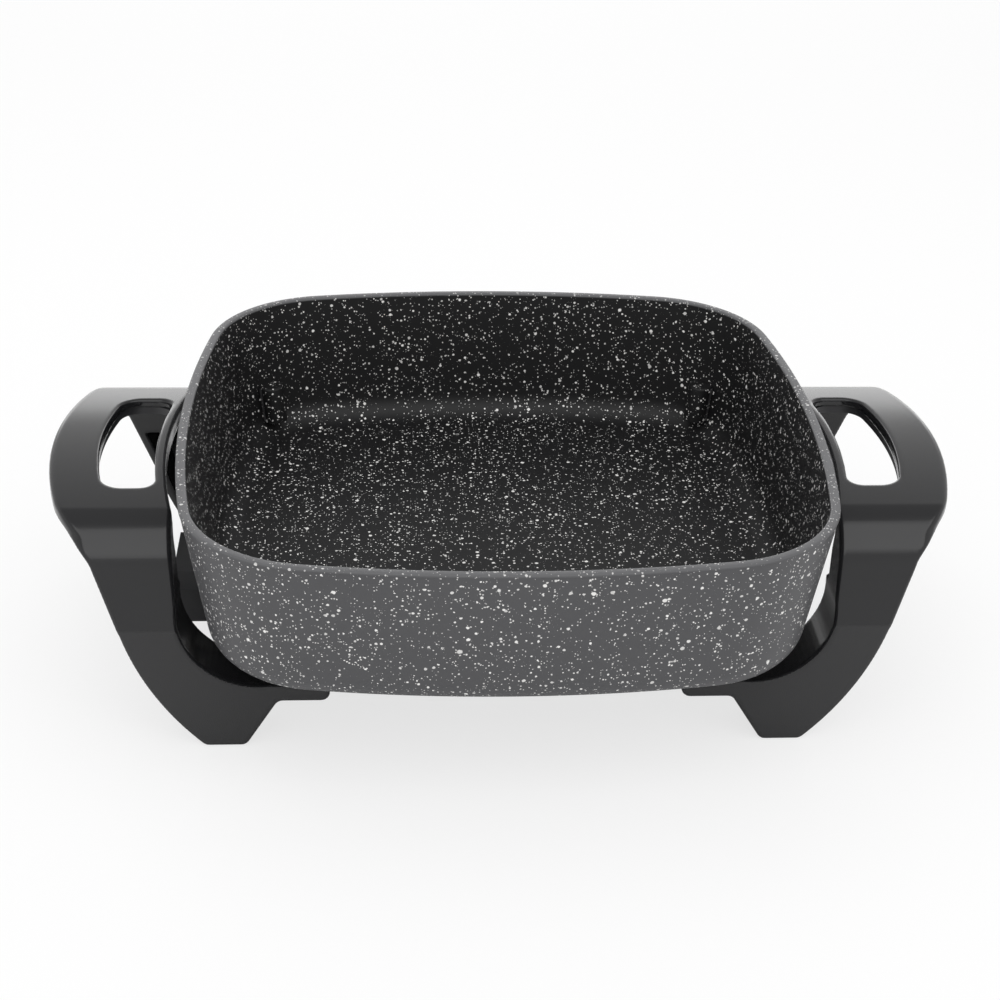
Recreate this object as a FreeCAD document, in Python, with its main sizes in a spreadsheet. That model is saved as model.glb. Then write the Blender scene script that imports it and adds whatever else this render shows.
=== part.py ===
"""Electric skillet: a deep cast pan carried by two moulded arch handles.

Frame: millimetres, +Z up, X to the right, Y to the back. The origin lies on the table
under the middle of the pan, level with the four feet. The heat-control socket is on the left.
"""

import FreeCAD
import Part
import Sketcher
import math
import os
from FreeCAD import Rotation, Vector

# Driving sizes in millimetres
SIZES = {
    "rim_height": 124.0,
    "rim_half": 150.0,
    "corner_radius": 62.0,
    "side_radius": 600.0,
    "pan_depth": 73.0,
    "wall_inset": 12.0,
    "wall_thickness": 4.5,
    "floor_thickness": 6.0,
    "bottom_round": 16.0,
    "inner_round": 14.0,
    "rim_round": 1.2,
    "lug_radius": 6.5,
    "lug_drop": 40.0,
    "leg_boss_radius": 9.0,
    "leg_boss_drop": 14.0,
    "leg_boss_x": 92.5,
    "leg_boss_y": 79.5,
    "element_radius": 4.0,
    "element_drop": 5.0,
    "element_half_x": 66.0,
    "element_half_y": 84.0,
    "element_corner": 34.0,
    "lead_bend": 15.0,
    "lead_turn": 12.0,
    "ridge_width": 15.0,
    "socket_drop": 16.0,
    "terminal_spacing": 30.0,
    "terminal_radius": 2.4,
    "terminal_length": 26.0,
    "terminal_neck": 2.0,
    "insulator_radius": 3.6,
    "insulator_length": 6.0,
    "lead_end": 118.0,
    "sleeve_radius": 4.5,
    "sleeve_bore": 3.4,
    "sleeve_length": 74.0,
    "sleeve_mouth": 150.0,
    "sensor_boss_half": 9.0,
    "sensor_boss_length": 31.0,
    "shroud_mouth": 156.0,
    "shroud_back": 112.0,
    "shroud_half": 27.0,
    "shroud_below": 10.0,
    "shroud_shoulder": 8.5,
    "shroud_above": 14.0,
    "shroud_bevel": 8.0,
    "shroud_wall": 2.5,
    "bracket_thickness": 1.6,
    "bracket_half": 36.0,
    "bracket_length": 22.0,
    "bracket_screw_y": 29.0,
    "shroud_screw_y": 22.0,
    "clip_thickness": 0.6,
    "clip_width": 8.0,
    "clip_reach": 30.0,
    "clip_spring": 2.5,
    "grip_reach": 210.0,
    "grip_radius": 195.0,
    "grip_inner_radius": 275.3,
    "grip_height": 111.0,
    "grip_fall": 3.6,
    "grip_shoulder": 62.0,
    "grip_thickness": 10.0,
    "pan_gap": 6.5,
    "slot_half": 45.0,
    "slot_arm_share": 0.419,
    "slot_bar": 5.0,
    "slot_corner_share": 0.353,
    "arch_step": 4.0,
    "arch_rise": 9.0,
    "arch_bow": 2.3,
    "arm_bow": 4.0,
    "arm_sag": 2.4,
    "leg_front": 93.0,
    "leg_depth": 27.0,
    "leg_wall": 3.5,
    "leg_lean": 8.5,
    "shoulder_bulge": 8.5,
    "shoulder_rise": 12.2,
    "knee_height": 62.0,
    "shoulder_height": 87.0,
    "leg_inner": 147.0,
    "leg_inner_lean": 3.0,
    "leg_inner_bend": 72.0,
    "heel_reach": 41.0,
    "belly_reach": 9.5,
    "belly_rise": 11.0,
    "hip_x": 170.5,
    "hip_height": 59.0,
    "calf_bow": 3.2,
    "calf_level": 0.44,
    "neck_lean": 12.0,
    "neck_height": 89.0,
    "foot_outer": 136.0,
    "foot_inner": 118.5,
    "foot_round": 4.0,
    "tongue_tip": 80.0,
    "tongue_root": 103.5,
    "tongue_thickness": 9.0,
    "grip_round": 2.2,
    "liner_depth": 4.0,
    "liner_border": 3.0,
    "liner_step": 1.0,
    "fit_gap": 0.3,
    "bore_gap": 0.05,
    "spacer_radius": 8.0,
    "spacer_height": 4.0,
    "leg_screw_radius": 2.5,
    "leg_screw_bite": 10.0,
    "leg_head_radius": 5.0,
    "leg_head_height": 3.2,
    "washer_radius": 7.5,
    "washer_thickness": 1.2,
    "small_screw_radius": 1.5,
    "small_head_radius": 2.9,
    "small_head_height": 1.8,
    "small_screw_bite": 4.0,
    "liner_screw_y": 22.0,
}

CORNERS = {
    "front_left": (-1, -1),
    "front_right": (1, -1),
    "rear_left": (-1, 1),
    "rear_right": (1, 1),
}
UP = Vector(0, 0, 1)
ALONG_X = Rotation(Vector(0, 1, 0), 90)
LEFTWARDS = Rotation(Vector(0, 1, 0), -90)
SPARE = 2.0

doc = FreeCAD.newDocument("Skillet")
nodes = []


def make_sheet():
    """Keep the driving sizes in a spreadsheet, one named cell each."""
    sheet = doc.addObject("Spreadsheet::Sheet", "Sizes")
    for row, (name, value) in enumerate(SIZES.items(), start=1):
        sheet.set("A%d" % row, name)
        sheet.set("B%d" % row, str(value))
        sheet.setAlias("B%d" % row, name)
    doc.recompute()
    return sheet


sizes = make_sheet()


def size(name):
    """Read one driving size from the sheet."""
    return float(sizes.get(name))


def underside():
    """Height of the pan's flat underside."""
    return size("rim_height") - size("pan_depth")


def socket_height():
    """Height of the socket's centre line."""
    return underside() - size("socket_drop")


def tongue_top():
    """Height at which the leg tongues meet their spacers."""
    return underside() - size("leg_boss_drop") - size("spacer_height")


def tongue_bottom():
    """Height of the underside of the tongues."""
    return tongue_top() - size("tongue_thickness")


UNDERSIDE = "(Sizes.rim_height - Sizes.pan_depth)"
SOCKET_HEIGHT = UNDERSIDE + " - Sizes.socket_drop"
TONGUE_TOP = UNDERSIDE + " - Sizes.leg_boss_drop - Sizes.spacer_height"
HEAD_TOP = TONGUE_TOP + " - Sizes.tongue_thickness + Sizes.leg_head_height"


def keep(item, label):
    """Name a sub-part and keep it for export."""
    item.Label = label
    nodes.append(item)
    return item


def bind(item, bindings):
    """Tie properties of an object to expressions of the sheet."""
    for name, expression in bindings.items():
        item.setExpression(name, expression)
    return item


def set_down(item, x, y, z, turn=None):
    """Place an object at sheet expressions, with a fixed turn."""
    if turn is not None:
        item.Placement = FreeCAD.Placement(Vector(), turn)
    return bind(item, {".Placement.Base.x": x, ".Placement.Base.y": y, ".Placement.Base.z": z})


def rod(name, radius, height, x, y, z, turn=None):
    """A cylinder whose size and place follow the sheet."""
    item = doc.addObject("Part::Cylinder", name)
    bind(item, {"Radius": radius, "Height": height})
    return set_down(item, x, y, z, turn)


def joined(name, *pieces):
    """Fuse several objects into one."""
    item = doc.addObject("Part::MultiFuse", name)
    item.Shapes = list(pieces)
    return item


def cut(name, base, tool):
    """Cut one object out of another."""
    item = doc.addObject("Part::Cut", name)
    item.Base = base
    item.Tool = tool
    return item


def shaped(label, shape):
    """A sub-part whose form is worked out from its own profiles."""
    item = doc.addObject("Part::Feature", label)
    item.Shape = shape
    item.Placement = FreeCAD.Placement()
    return keep(item, label)


def group(label, pieces):
    """Several separate solids kept in one sub-part."""
    item = doc.addObject("Part::Compound", label)
    item.Links = pieces
    return keep(item, label)


def outline(start, *moves):
    """A closed face: a point is a line to it, a pair is an arc through the first to the second."""
    edges = []
    here = start
    for move in moves + (start,):
        if isinstance(move, tuple):
            middle, there = move
            edges.append(Part.Arc(here, middle, there).toShape())
        else:
            there = move
            edges.append(Part.LineSegment(here, there).toShape())
        here = there
    return Part.Face(Part.Wire(edges))


def edges_along(shape, direction, places, reach=0.5):
    """Straight edges along a direction that pass near one of the given places."""
    found = []
    for edge in shape.Edges:
        if len(edge.Vertexes) < 2:
            continue
        run = edge.Vertexes[1].Point - edge.Vertexes[0].Point
        if run.Length < reach or abs(abs(run.normalize() * direction) - 1) > 0.001:
            continue
        middle = edge.Vertexes[0].Point
        for place in places:
            gap = middle - place
            gap -= direction * (gap * direction)
            if gap.Length < reach:
                found.append(edge)
                break
    return found


def disc(x, radius, low, high):
    """An upright cylinder with its axis on the X axis."""
    return Part.makeCylinder(radius, high - low, Vector(x, 0, low), UP)


def block(x0, x1, y0, y1, z0, z1):
    """A box between two corners."""
    return Part.makeBox(x1 - x0, y1 - y0, z1 - z0, Vector(x0, y0, z0))


# Pan casting

def corner_centre():
    """Distance of the corner arcs' centres from both middle planes, where sides and corners meet smoothly."""
    side_centre = size("rim_half") - size("side_radius")
    apart = size("side_radius") - size("corner_radius")
    return (side_centre + math.sqrt(2 * apart ** 2 - side_centre ** 2)) / 2


def pan_outline(inset, height):
    """The pan's plan outline: four bulged sides and four corner arcs, moved inwards by inset."""
    side_centre = size("rim_half") - size("side_radius")
    centre = corner_centre()
    split = math.atan2(centre, centre - side_centre)
    side = Part.Circle(Vector(side_centre, 0, height), UP, size("side_radius") - inset)
    corner = Part.Circle(Vector(centre, centre, height), UP, size("corner_radius") - inset)
    quarter = [Part.Arc(side, -split, split).toShape(), Part.Arc(corner, split, math.pi / 2 - split).toShape()]
    edges = []
    for turn in range(4):
        for edge in quarter:
            copy = edge.copy()
            copy.rotate(Vector(), UP, 90 * turn)
            edges.append(copy)
    return Part.Wire(edges)


def draft_inset(height):
    """How far the outer wall has drawn in at a height."""
    return size("wall_inset") * (size("rim_height") - height) / size("pan_depth")


def pan_block(wall, low, high, rounding):
    """The solid inside the pan's drafted wall, with a rounded lower edge."""
    rings = [pan_outline(wall + draft_inset(height), height) for height in (high, low)]
    solid = Part.makeLoft(rings, True, True)
    edges = [edge for edge in solid.Edges if all(abs(v.Z - low) < 0.001 for v in edge.Vertexes)]
    return solid.makeFillet(rounding, edges)


def rounded_slab(half_x, half_y, corner, low, high):
    """A rectangular slab with round corners."""
    slab = block(-half_x, half_x, -half_y, half_y, low, high)
    places = [Vector(sx * half_x, sy * half_y, low) for sx, sy in CORNERS.values()]
    return slab.makeFillet(corner, edges_along(slab, UP, places))


def element_path():
    """Centre line of the element: in from one terminal, round the loop and out to the other."""
    loop = underside() - size("element_drop")
    low = socket_height()
    half_x = size("element_half_x")
    half_y = size("element_half_y")
    corner = size("element_corner")
    turn = size("lead_turn")
    bend = size("lead_bend")
    pin = size("terminal_spacing") / 2
    swing = math.acos(1 - (loop - low) / (2 * bend))
    rise_end = -half_x - turn - SPARE
    rise_start = rise_end - 2 * bend * math.sin(swing)
    middle_x = (rise_start + rise_end) / 2
    middle_z = (loop + low) / 2
    half = swing / 2
    first = Vector(rise_start + bend * math.sin(half), -pin, low + bend * (1 - math.cos(half)))
    second = Vector(rise_end - bend * math.sin(half), -pin, loop - bend * (1 - math.cos(half)))
    slant = math.sqrt(0.5)
    front = [
        Part.LineSegment(Vector(-size("lead_end"), -pin, low), Vector(rise_start, -pin, low)),
        Part.Arc(Vector(rise_start, -pin, low), first, Vector(middle_x, -pin, middle_z)),
        Part.Arc(Vector(middle_x, -pin, middle_z), second, Vector(rise_end, -pin, loop)),
        Part.LineSegment(Vector(rise_end, -pin, loop), Vector(-half_x - turn, -pin, loop)),
        Part.Arc(Vector(-half_x - turn, -pin, loop),
                 Vector(-half_x - turn + turn * slant, -pin - turn * (1 - slant), loop),
                 Vector(-half_x, -pin - turn, loop)),
        Part.LineSegment(Vector(-half_x, -pin - turn, loop), Vector(-half_x, corner - half_y, loop)),
        Part.Arc(Vector(-half_x, corner - half_y, loop),
                 Vector(-half_x + corner * (1 - slant), -half_y + corner * (1 - slant), loop),
                 Vector(corner - half_x, -half_y, loop)),
        Part.LineSegment(Vector(corner - half_x, -half_y, loop), Vector(half_x - corner, -half_y, loop)),
        Part.Arc(Vector(half_x - corner, -half_y, loop),
                 Vector(half_x - corner * (1 - slant), -half_y + corner * (1 - slant), loop),
                 Vector(half_x, corner - half_y, loop)),
        Part.LineSegment(Vector(half_x, corner - half_y, loop), Vector(half_x, 0, loop)),
    ]
    edges = [piece.toShape() for piece in front]
    flip = [edge.mirror(Vector(), Vector(0, 1, 0)) for edge in edges]
    return Part.Wire(Part.__sortEdges__(edges + flip))


def element_tube(radius):
    """A round tube swept along the element's centre line."""
    start = Vector(-size("lead_end"), -size("terminal_spacing") / 2, socket_height())
    ring = Part.Wire(Part.Circle(start, Vector(1, 0, 0), radius).toShape())
    path = element_path()
    tube = path.makePipeShell([ring], True, False)
    return tube.Solids[0]


def element_ridge():
    """The cast ridge round the pan's underside that the element is set in."""
    half = size("ridge_width") / 2
    low = underside() - size("element_drop")
    high = underside() + SPARE
    half_x = size("element_half_x")
    half_y = size("element_half_y")
    corner = size("element_corner")
    ridge = rounded_slab(half_x + half, half_y + half, corner + half, low, high)
    ridge = ridge.cut(rounded_slab(half_x - half, half_y - half, corner - half, low - SPARE, high + SPARE))
    gate = size("terminal_spacing") / 2 + size("lead_turn")
    return ridge.cut(block(-half_x - 2 * half, -half_x + 2 * half, -gate, gate, low - SPARE, high + SPARE))


def corner_lug(sx, sy):
    """An upright rib in an inner corner, the seat of a steaming rack."""
    top = size("rim_height") - size("lug_drop")
    inner = size("corner_radius") - size("wall_thickness") - draft_inset(top)
    reach = corner_centre() + inner * math.sqrt(0.5) - size("lug_radius") / 3
    x = sx * reach
    y = sy * reach
    low = underside() + size("floor_thickness") / 2
    rib = Part.makeCylinder(size("lug_radius"), top - low, Vector(x, y, low), UP)
    upper = [edge for edge in rib.Edges if all(abs(v.Z - top) < 0.001 for v in edge.Vertexes)]
    return rib.makeFillet(size("rim_round"), upper)


def leg_boss(sx, sy):
    """A cast post under the pan that a leg is screwed to."""
    low = underside() - size("leg_boss_drop")
    base = Vector(sx * size("leg_boss_x"), sy * size("leg_boss_y"), low)
    post = Part.makeCylinder(size("leg_boss_radius"), size("leg_boss_drop") + SPARE, base, UP)
    return post


def screw_hole(x, y, low, radius, depth):
    """A blind upright hole that starts just below a face."""
    return Part.makeCylinder(radius, depth + SPARE, Vector(x, y, low - SPARE), UP)


def pan_shape():
    """The whole casting with ridge, ribs, posts, sensor boss and screw holes."""
    rim = size("rim_height")
    low = underside()
    outer = pan_block(0, low, rim, size("bottom_round"))
    hollow = pan_block(size("wall_thickness"), low + size("floor_thickness"), rim + SPARE, size("inner_round"))
    pan = outer.cut(hollow)
    lips = [edge for edge in pan.Edges if all(abs(v.Z - rim) < 0.001 for v in edge.Vertexes)]
    pan = pan.makeFillet(size("rim_round"), lips)
    ribs = [corner_lug(sx, sy).common(outer) for sx, sy in CORNERS.values()]
    posts = [leg_boss(sx, sy) for sx, sy in CORNERS.values()]
    boss_end = size("sleeve_mouth") - size("sleeve_length")
    half = size("sensor_boss_half")
    boss_low = socket_height() - half
    sensor_boss = block(-boss_end - size("sensor_boss_length"), -boss_end + SPARE, -half, half,
                        boss_low, low + SPARE)
    places = [Vector(0, side * half, boss_low) for side in (-1, 1)]
    sensor_boss = sensor_boss.makeFillet(half * 0.8, edges_along(sensor_boss, Vector(1, 0, 0), places))
    pan = pan.fuse(ribs + posts + [sensor_boss, element_ridge()])
    pan = pan.cut(element_tube(size("element_radius") + size("bore_gap")))
    sleeve = Part.makeCylinder(size("sleeve_radius") + size("bore_gap"), size("sleeve_length"),
                               Vector(-size("sleeve_mouth"), 0, socket_height()), Vector(1, 0, 0))
    holes = [sleeve]
    for sx, sy in CORNERS.values():
        holes.append(screw_hole(sx * size("leg_boss_x"), sy * size("leg_boss_y"),
                                low - size("leg_boss_drop"), size("leg_screw_radius") + size("bore_gap"),
                                size("leg_screw_bite") + size("fit_gap")))
    for side in (-1, 1):
        holes.append(screw_hole(bracket_screw_x(), side * size("bracket_screw_y"), low,
                                size("small_screw_radius") + size("bore_gap"),
                                size("small_screw_bite") + size("fit_gap")))
    return pan.cut(holes).removeSplitter()


# Socket

def bracket_screw_x():
    """X of the screws that hold the bracket under the pan."""
    return -size("shroud_back") + size("bracket_length") * 0.6


def bracket_shape():
    """A folded steel plate: an upright that carries the shroud and a flange under the pan."""
    top = underside()
    back = -size("shroud_back")
    thick = size("bracket_thickness")
    half = size("bracket_half")
    pin = size("terminal_spacing") / 2
    low = socket_height() - size("shroud_below") + size("shroud_wall")
    shoulder = socket_height() + size("shroud_shoulder")
    upright = block(back, back + thick, -size("shroud_half") + size("shroud_wall"),
                    size("shroud_half") - size("shroud_wall"), low, shoulder + SPARE)
    ear = block(back, back + thick, -half, half, shoulder, top)
    flange = block(back, back + size("bracket_length"), -half, half, top - thick, top)
    gate = pin + size("element_radius") + SPARE
    notch = block(back + thick + SPARE, back + size("bracket_length") + SPARE, -gate, gate, low, top + SPARE)
    plate = upright.fuse([ear, flange]).cut(notch)
    holes = []
    for y in (-pin, pin):
        holes.append(Part.makeCylinder(size("element_radius") + size("fit_gap"), 4 * thick,
                                       Vector(back - thick, y, socket_height()), Vector(1, 0, 0)))
    holes.append(Part.makeCylinder(size("sleeve_radius") + size("fit_gap"), 4 * thick,
                                   Vector(back - thick, 0, socket_height()), Vector(1, 0, 0)))
    for side in (-1, 1):
        holes.append(screw_hole(bracket_screw_x(), side * size("bracket_screw_y"), top - thick,
                                size("small_screw_radius") + size("bore_gap"), thick + SPARE))
        holes.append(Part.makeCylinder(size("small_screw_radius") + size("bore_gap"), 4 * thick,
                                       Vector(back - thick, side * size("shroud_screw_y"), socket_height()),
                                       Vector(1, 0, 0)))
    return plate.cut(holes).removeSplitter()


def shroud_section(wall):
    """The shroud's cross-section, bevelled along both upper edges, moved inwards by wall."""
    half = size("shroud_half") - wall
    low = socket_height() - size("shroud_below") + wall
    shoulder = socket_height() + size("shroud_shoulder")
    high = socket_height() + size("shroud_above") - wall
    crown = size("shroud_half") - size("shroud_bevel") - wall / 2
    return low, shoulder, high, half, crown


def shroud_prism(wall, x0, x1):
    """The shroud's cross-section carried from x0 to x1."""
    low, shoulder, high, half, crown = shroud_section(wall)
    face = outline(Vector(x0, -half, low), Vector(x0, half, low), Vector(x0, half, shoulder),
                   Vector(x0, crown, high), Vector(x0, -crown, high), Vector(x0, -half, shoulder))
    return face.extrude(Vector(x1 - x0, 0, 0))


def shroud_shape():
    """The moulded socket housing, open to the left, with holes in its back wall."""
    mouth = -size("shroud_mouth")
    back = -size("shroud_back")
    wall = size("shroud_wall")
    shell = shroud_prism(0, mouth, back)
    low, shoulder, high, half, crown = shroud_section(0)
    places = [Vector(mouth, side * half, low) for side in (-1, 1)]
    shell = shell.makeFillet(SPARE, edges_along(shell, Vector(1, 0, 0), places))
    shell = shell.cut(shroud_prism(wall, mouth - SPARE, back - wall))
    holes = []
    for y in (-size("terminal_spacing") / 2, size("terminal_spacing") / 2):
        holes.append(Part.makeCylinder(size("element_radius") + size("bore_gap"), 4 * wall,
                                       Vector(back - 2 * wall, y, socket_height()), Vector(1, 0, 0)))
    holes.append(Part.makeCylinder(size("sleeve_radius") + size("bore_gap"), 4 * wall,
                                   Vector(back - 2 * wall, 0, socket_height()), Vector(1, 0, 0)))
    for side in (-1, 1):
        holes.append(Part.makeCylinder(size("small_screw_radius") + size("bore_gap"), 4 * wall,
                                       Vector(back - 2 * wall, side * size("shroud_screw_y"), socket_height()),
                                       Vector(1, 0, 0)))
    return shell.cut(holes)


def earth_clip_shape(side):
    """A spring strip along a side wall of the shroud, bowed towards the pins."""
    inner = side * (size("shroud_half") - size("shroud_wall"))
    bow = -side * size("clip_spring")
    sheet = -side * size("clip_thickness")
    foot = -size("shroud_back") - size("shroud_wall")
    tip = foot - size("clip_reach")
    middle = (foot + tip) / 2
    low = socket_height() - size("clip_width") / 2
    face = outline(Vector(foot, inner, low), (Vector(middle, inner + bow, low), Vector(tip, inner, low)),
                   Vector(tip, inner + sheet, low),
                   (Vector(middle, inner + bow + sheet, low), Vector(foot, inner + sheet, low)))
    return face.extrude(Vector(0, 0, size("clip_width")))


def make_terminals():
    """Two mains pins, each with its ceramic bead on the end of the element."""
    for place, sign in (("front", "-"), ("rear", "")):
        y = sign + "Sizes.terminal_spacing / 2"
        neck = rod("pin_neck_" + place, "Sizes.terminal_neck", "Sizes.insulator_length",
                   "-Sizes.lead_end", y, SOCKET_HEIGHT, LEFTWARDS)
        shank = rod("pin_shank_" + place, "Sizes.terminal_radius", "Sizes.terminal_length",
                    "-Sizes.lead_end - Sizes.insulator_length", y, SOCKET_HEIGHT, LEFTWARDS)
        tip = doc.addObject("Part::Cone", "pin_tip_" + place)
        bind(tip, {"Radius1": "Sizes.terminal_radius", "Radius2": "Sizes.terminal_radius / 2",
                   "Height": "Sizes.terminal_radius"})
        set_down(tip, "-Sizes.lead_end - Sizes.terminal_length - Sizes.insulator_length", y, SOCKET_HEIGHT,
                 LEFTWARDS)
        keep(joined("terminal_pin_" + place, neck, shank, tip), "terminal_pin_" + place)
        bead = rod("bead_" + place, "Sizes.insulator_radius", "Sizes.insulator_length",
                   "-Sizes.lead_end", y, SOCKET_HEIGHT, LEFTWARDS)
        bore = rod("bead_bore_" + place, "Sizes.terminal_neck + Sizes.bore_gap",
                   "Sizes.insulator_length", "-Sizes.lead_end", y, SOCKET_HEIGHT, LEFTWARDS)
        keep(cut("terminal_insulator_" + place, bead, bore), "terminal_insulator_" + place)


def make_sleeve():
    """The tube that a heat control's sensor slides into."""
    tube = rod("sleeve_tube", "Sizes.sleeve_radius", "Sizes.sleeve_length",
               "-Sizes.sleeve_mouth", "0", SOCKET_HEIGHT, ALONG_X)
    bore = rod("sleeve_bore_core", "Sizes.sleeve_bore", "Sizes.sleeve_length - Sizes.sleeve_radius / 2",
               "-Sizes.sleeve_mouth", "0", SOCKET_HEIGHT, ALONG_X)
    keep(cut("probe_sleeve", tube, bore), "probe_sleeve")


# Handle moulding, worked out on the right-hand side

def side_face():
    """The handle seen from the front: grip above, leg bent inwards, foot and tongue below."""
    y = -size("leg_front") - SPARE
    top = tongue_top()
    low = tongue_bottom()
    high = size("grip_height") + SPARE
    hip = Vector(size("hip_x"), y, size("hip_height"))
    outer = size("grip_reach") + SPARE
    leg_mid = Vector((size("foot_outer") + hip.x) / 2 + size("calf_bow"), y,
                     size("hip_height") * size("calf_level"))
    neck = Vector(size("hip_x") + size("neck_lean"), y, size("neck_height"))
    arm = size("grip_height") - size("grip_thickness")
    bend = Vector(size("leg_inner"), y, size("leg_inner_bend"))
    heel = Vector(size("leg_inner") - size("heel_reach"), y, top)
    belly = Vector(size("leg_inner") - size("belly_reach"), y, top + size("belly_rise"))
    return outline(
        Vector(size("foot_inner"), y, 0), Vector(size("foot_outer"), y, 0), (leg_mid, hip), neck,
        (Vector((neck.x + outer) / 2 - size("arm_bow"), y, arm - size("arm_sag")), Vector(outer, y, arm)),
        Vector(outer, y, high), Vector(size("leg_inner") + size("leg_inner_lean"), y, high), bend, (belly, heel),
        Vector(size("tongue_tip"), y, top), Vector(size("tongue_tip"), y, low),
        Vector(size("tongue_root"), y, low))


def arch_face(wall, x):
    """The handle seen from the side: a low crown that leans out into two upright legs."""
    front = size("leg_front") - wall
    knee = size("knee_height")
    shoulder = size("leg_front") - size("leg_lean") - wall
    shoulder_z = size("shoulder_height") - wall / 2
    crown = size("grip_height") - wall
    edge = size("grip_shoulder") - wall
    edge_z = crown - size("grip_fall")
    bulge = Vector(x, shoulder - size("shoulder_bulge"), shoulder_z + size("shoulder_rise"))
    return outline(
        Vector(x, -front, -SPARE), Vector(x, -front, knee), Vector(x, -shoulder, shoulder_z),
        (Vector(x, -bulge.y, bulge.z), Vector(x, -edge, edge_z)),
        (Vector(x, 0, crown), Vector(x, edge, edge_z)),
        (bulge, Vector(x, shoulder, shoulder_z)),
        Vector(x, front, knee), Vector(x, front, -SPARE))


def under_arch(x, length):
    """The open space between the legs, below the grip."""
    half = size("leg_front") - size("leg_depth")
    flat = size("grip_shoulder") - size("arch_step")
    top = size("grip_height") - size("grip_thickness")
    rise = size("arch_rise")
    bow = size("arch_bow")
    face = outline(
        Vector(x, -half, -SPARE), Vector(x, -half, top - rise),
        (Vector(x, -half + bow, top - bow), Vector(x, -flat, top)), Vector(x, flat, top),
        (Vector(x, half - bow, top - bow), Vector(x, half, top - rise)), Vector(x, half, -SPARE))
    return face.extrude(Vector(length, 0, 0))


def grip_width():
    """Width of the grip at its middle, from the pan's side to the outer edge."""
    return size("grip_reach") - size("rim_half") - size("pan_gap")


def arm_width():
    """Width of the grip's outer arm, beside the finger slot."""
    return grip_width() * size("slot_arm_share")


def slot_corner():
    """Radius of the finger slot's corners."""
    return (grip_width() - size("slot_bar") - arm_width()) * size("slot_corner_share")


def grip_disc(margin, low, high):
    """The round that bounds the grip on the outside, drawn in by margin."""
    radius = size("grip_radius") - margin
    return disc(size("grip_reach") - size("grip_radius"), radius, low, high)


def pan_disc(margin, low, high):
    """The round that bounds the grip beside the pan, moved away from it by margin."""
    radius = size("grip_inner_radius")
    return disc(size("rim_half") + size("pan_gap") - radius, radius + margin, low, high)


def grip_ring(margin, low, high):
    """The finger slot, or its shape grown by a negative margin."""
    half = size("slot_half") - margin
    slot = block(size("tongue_tip"), size("grip_reach"), -half, half, low, high)
    slot = slot.common(grip_disc(arm_width() + margin, low, high))
    slot = slot.cut(pan_disc(size("slot_bar") + margin, low - SPARE, high + SPARE))
    upright = [edge for edge in slot.Edges
               if len(edge.Vertexes) == 2
               and abs(edge.Vertexes[0].X - edge.Vertexes[1].X) < 0.001
               and abs(edge.Vertexes[0].Y - edge.Vertexes[1].Y) < 0.001]
    return slot.makeFillet(slot_corner() - margin, upright)


def liner_plate(margin, low, high):
    """The outline of the grip's lower moulding, drawn in by margin."""
    border = size("liner_border") + margin
    half = size("grip_shoulder") - size("arch_step") - border
    plate = block(size("tongue_tip"), size("grip_reach"), -half, half, low, high)
    plate = plate.common(grip_disc(border, low, high))
    return plate.cut(pan_disc(border / 2, low - SPARE, high + SPARE))


def liner_screw_places():
    """Where the two screws under the grip stand."""
    y = size("liner_screw_y")
    centre = size("grip_reach") - size("grip_radius")
    radius = size("grip_radius") - arm_width() / 2
    x = centre + math.sqrt(radius ** 2 - y ** 2)
    return [(x, -y), (x, y)]


def leg_hollow():
    """The hollow of both legs, open towards each other, inside an even wall."""
    wall = size("leg_wall")
    y = -size("leg_front")
    top = tongue_top()
    hip = Vector(size("hip_x") - wall, y, size("hip_height"))
    ceiling = size("shoulder_height") - 2 * wall
    inner = size("leg_inner") + wall
    face = outline(
        Vector(size("foot_inner") + wall / 2, y, wall), Vector(size("foot_outer") - wall, y, wall),
        (Vector((size("foot_outer") + size("hip_x")) / 2 + size("calf_bow") - wall, y,
                size("hip_height") * size("calf_level")), hip),
        Vector(hip.x + size("neck_lean") - wall, y, ceiling), Vector(inner, y, ceiling),
        Vector(inner, y, size("leg_inner_bend")),
        (Vector(inner - size("belly_reach"), y, top + size("belly_rise") - wall),
         Vector(inner - size("heel_reach") + 3 * wall, y, top - wall)),
        Vector(size("tongue_root") + 3 * wall, y, tongue_bottom()))
    core = face.extrude(Vector(0, 2 * size("leg_front"), 0))
    bounds = arch_face(wall, size("tongue_tip")).extrude(Vector(size("grip_reach"), 0, 0))
    return core.common(bounds)


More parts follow.
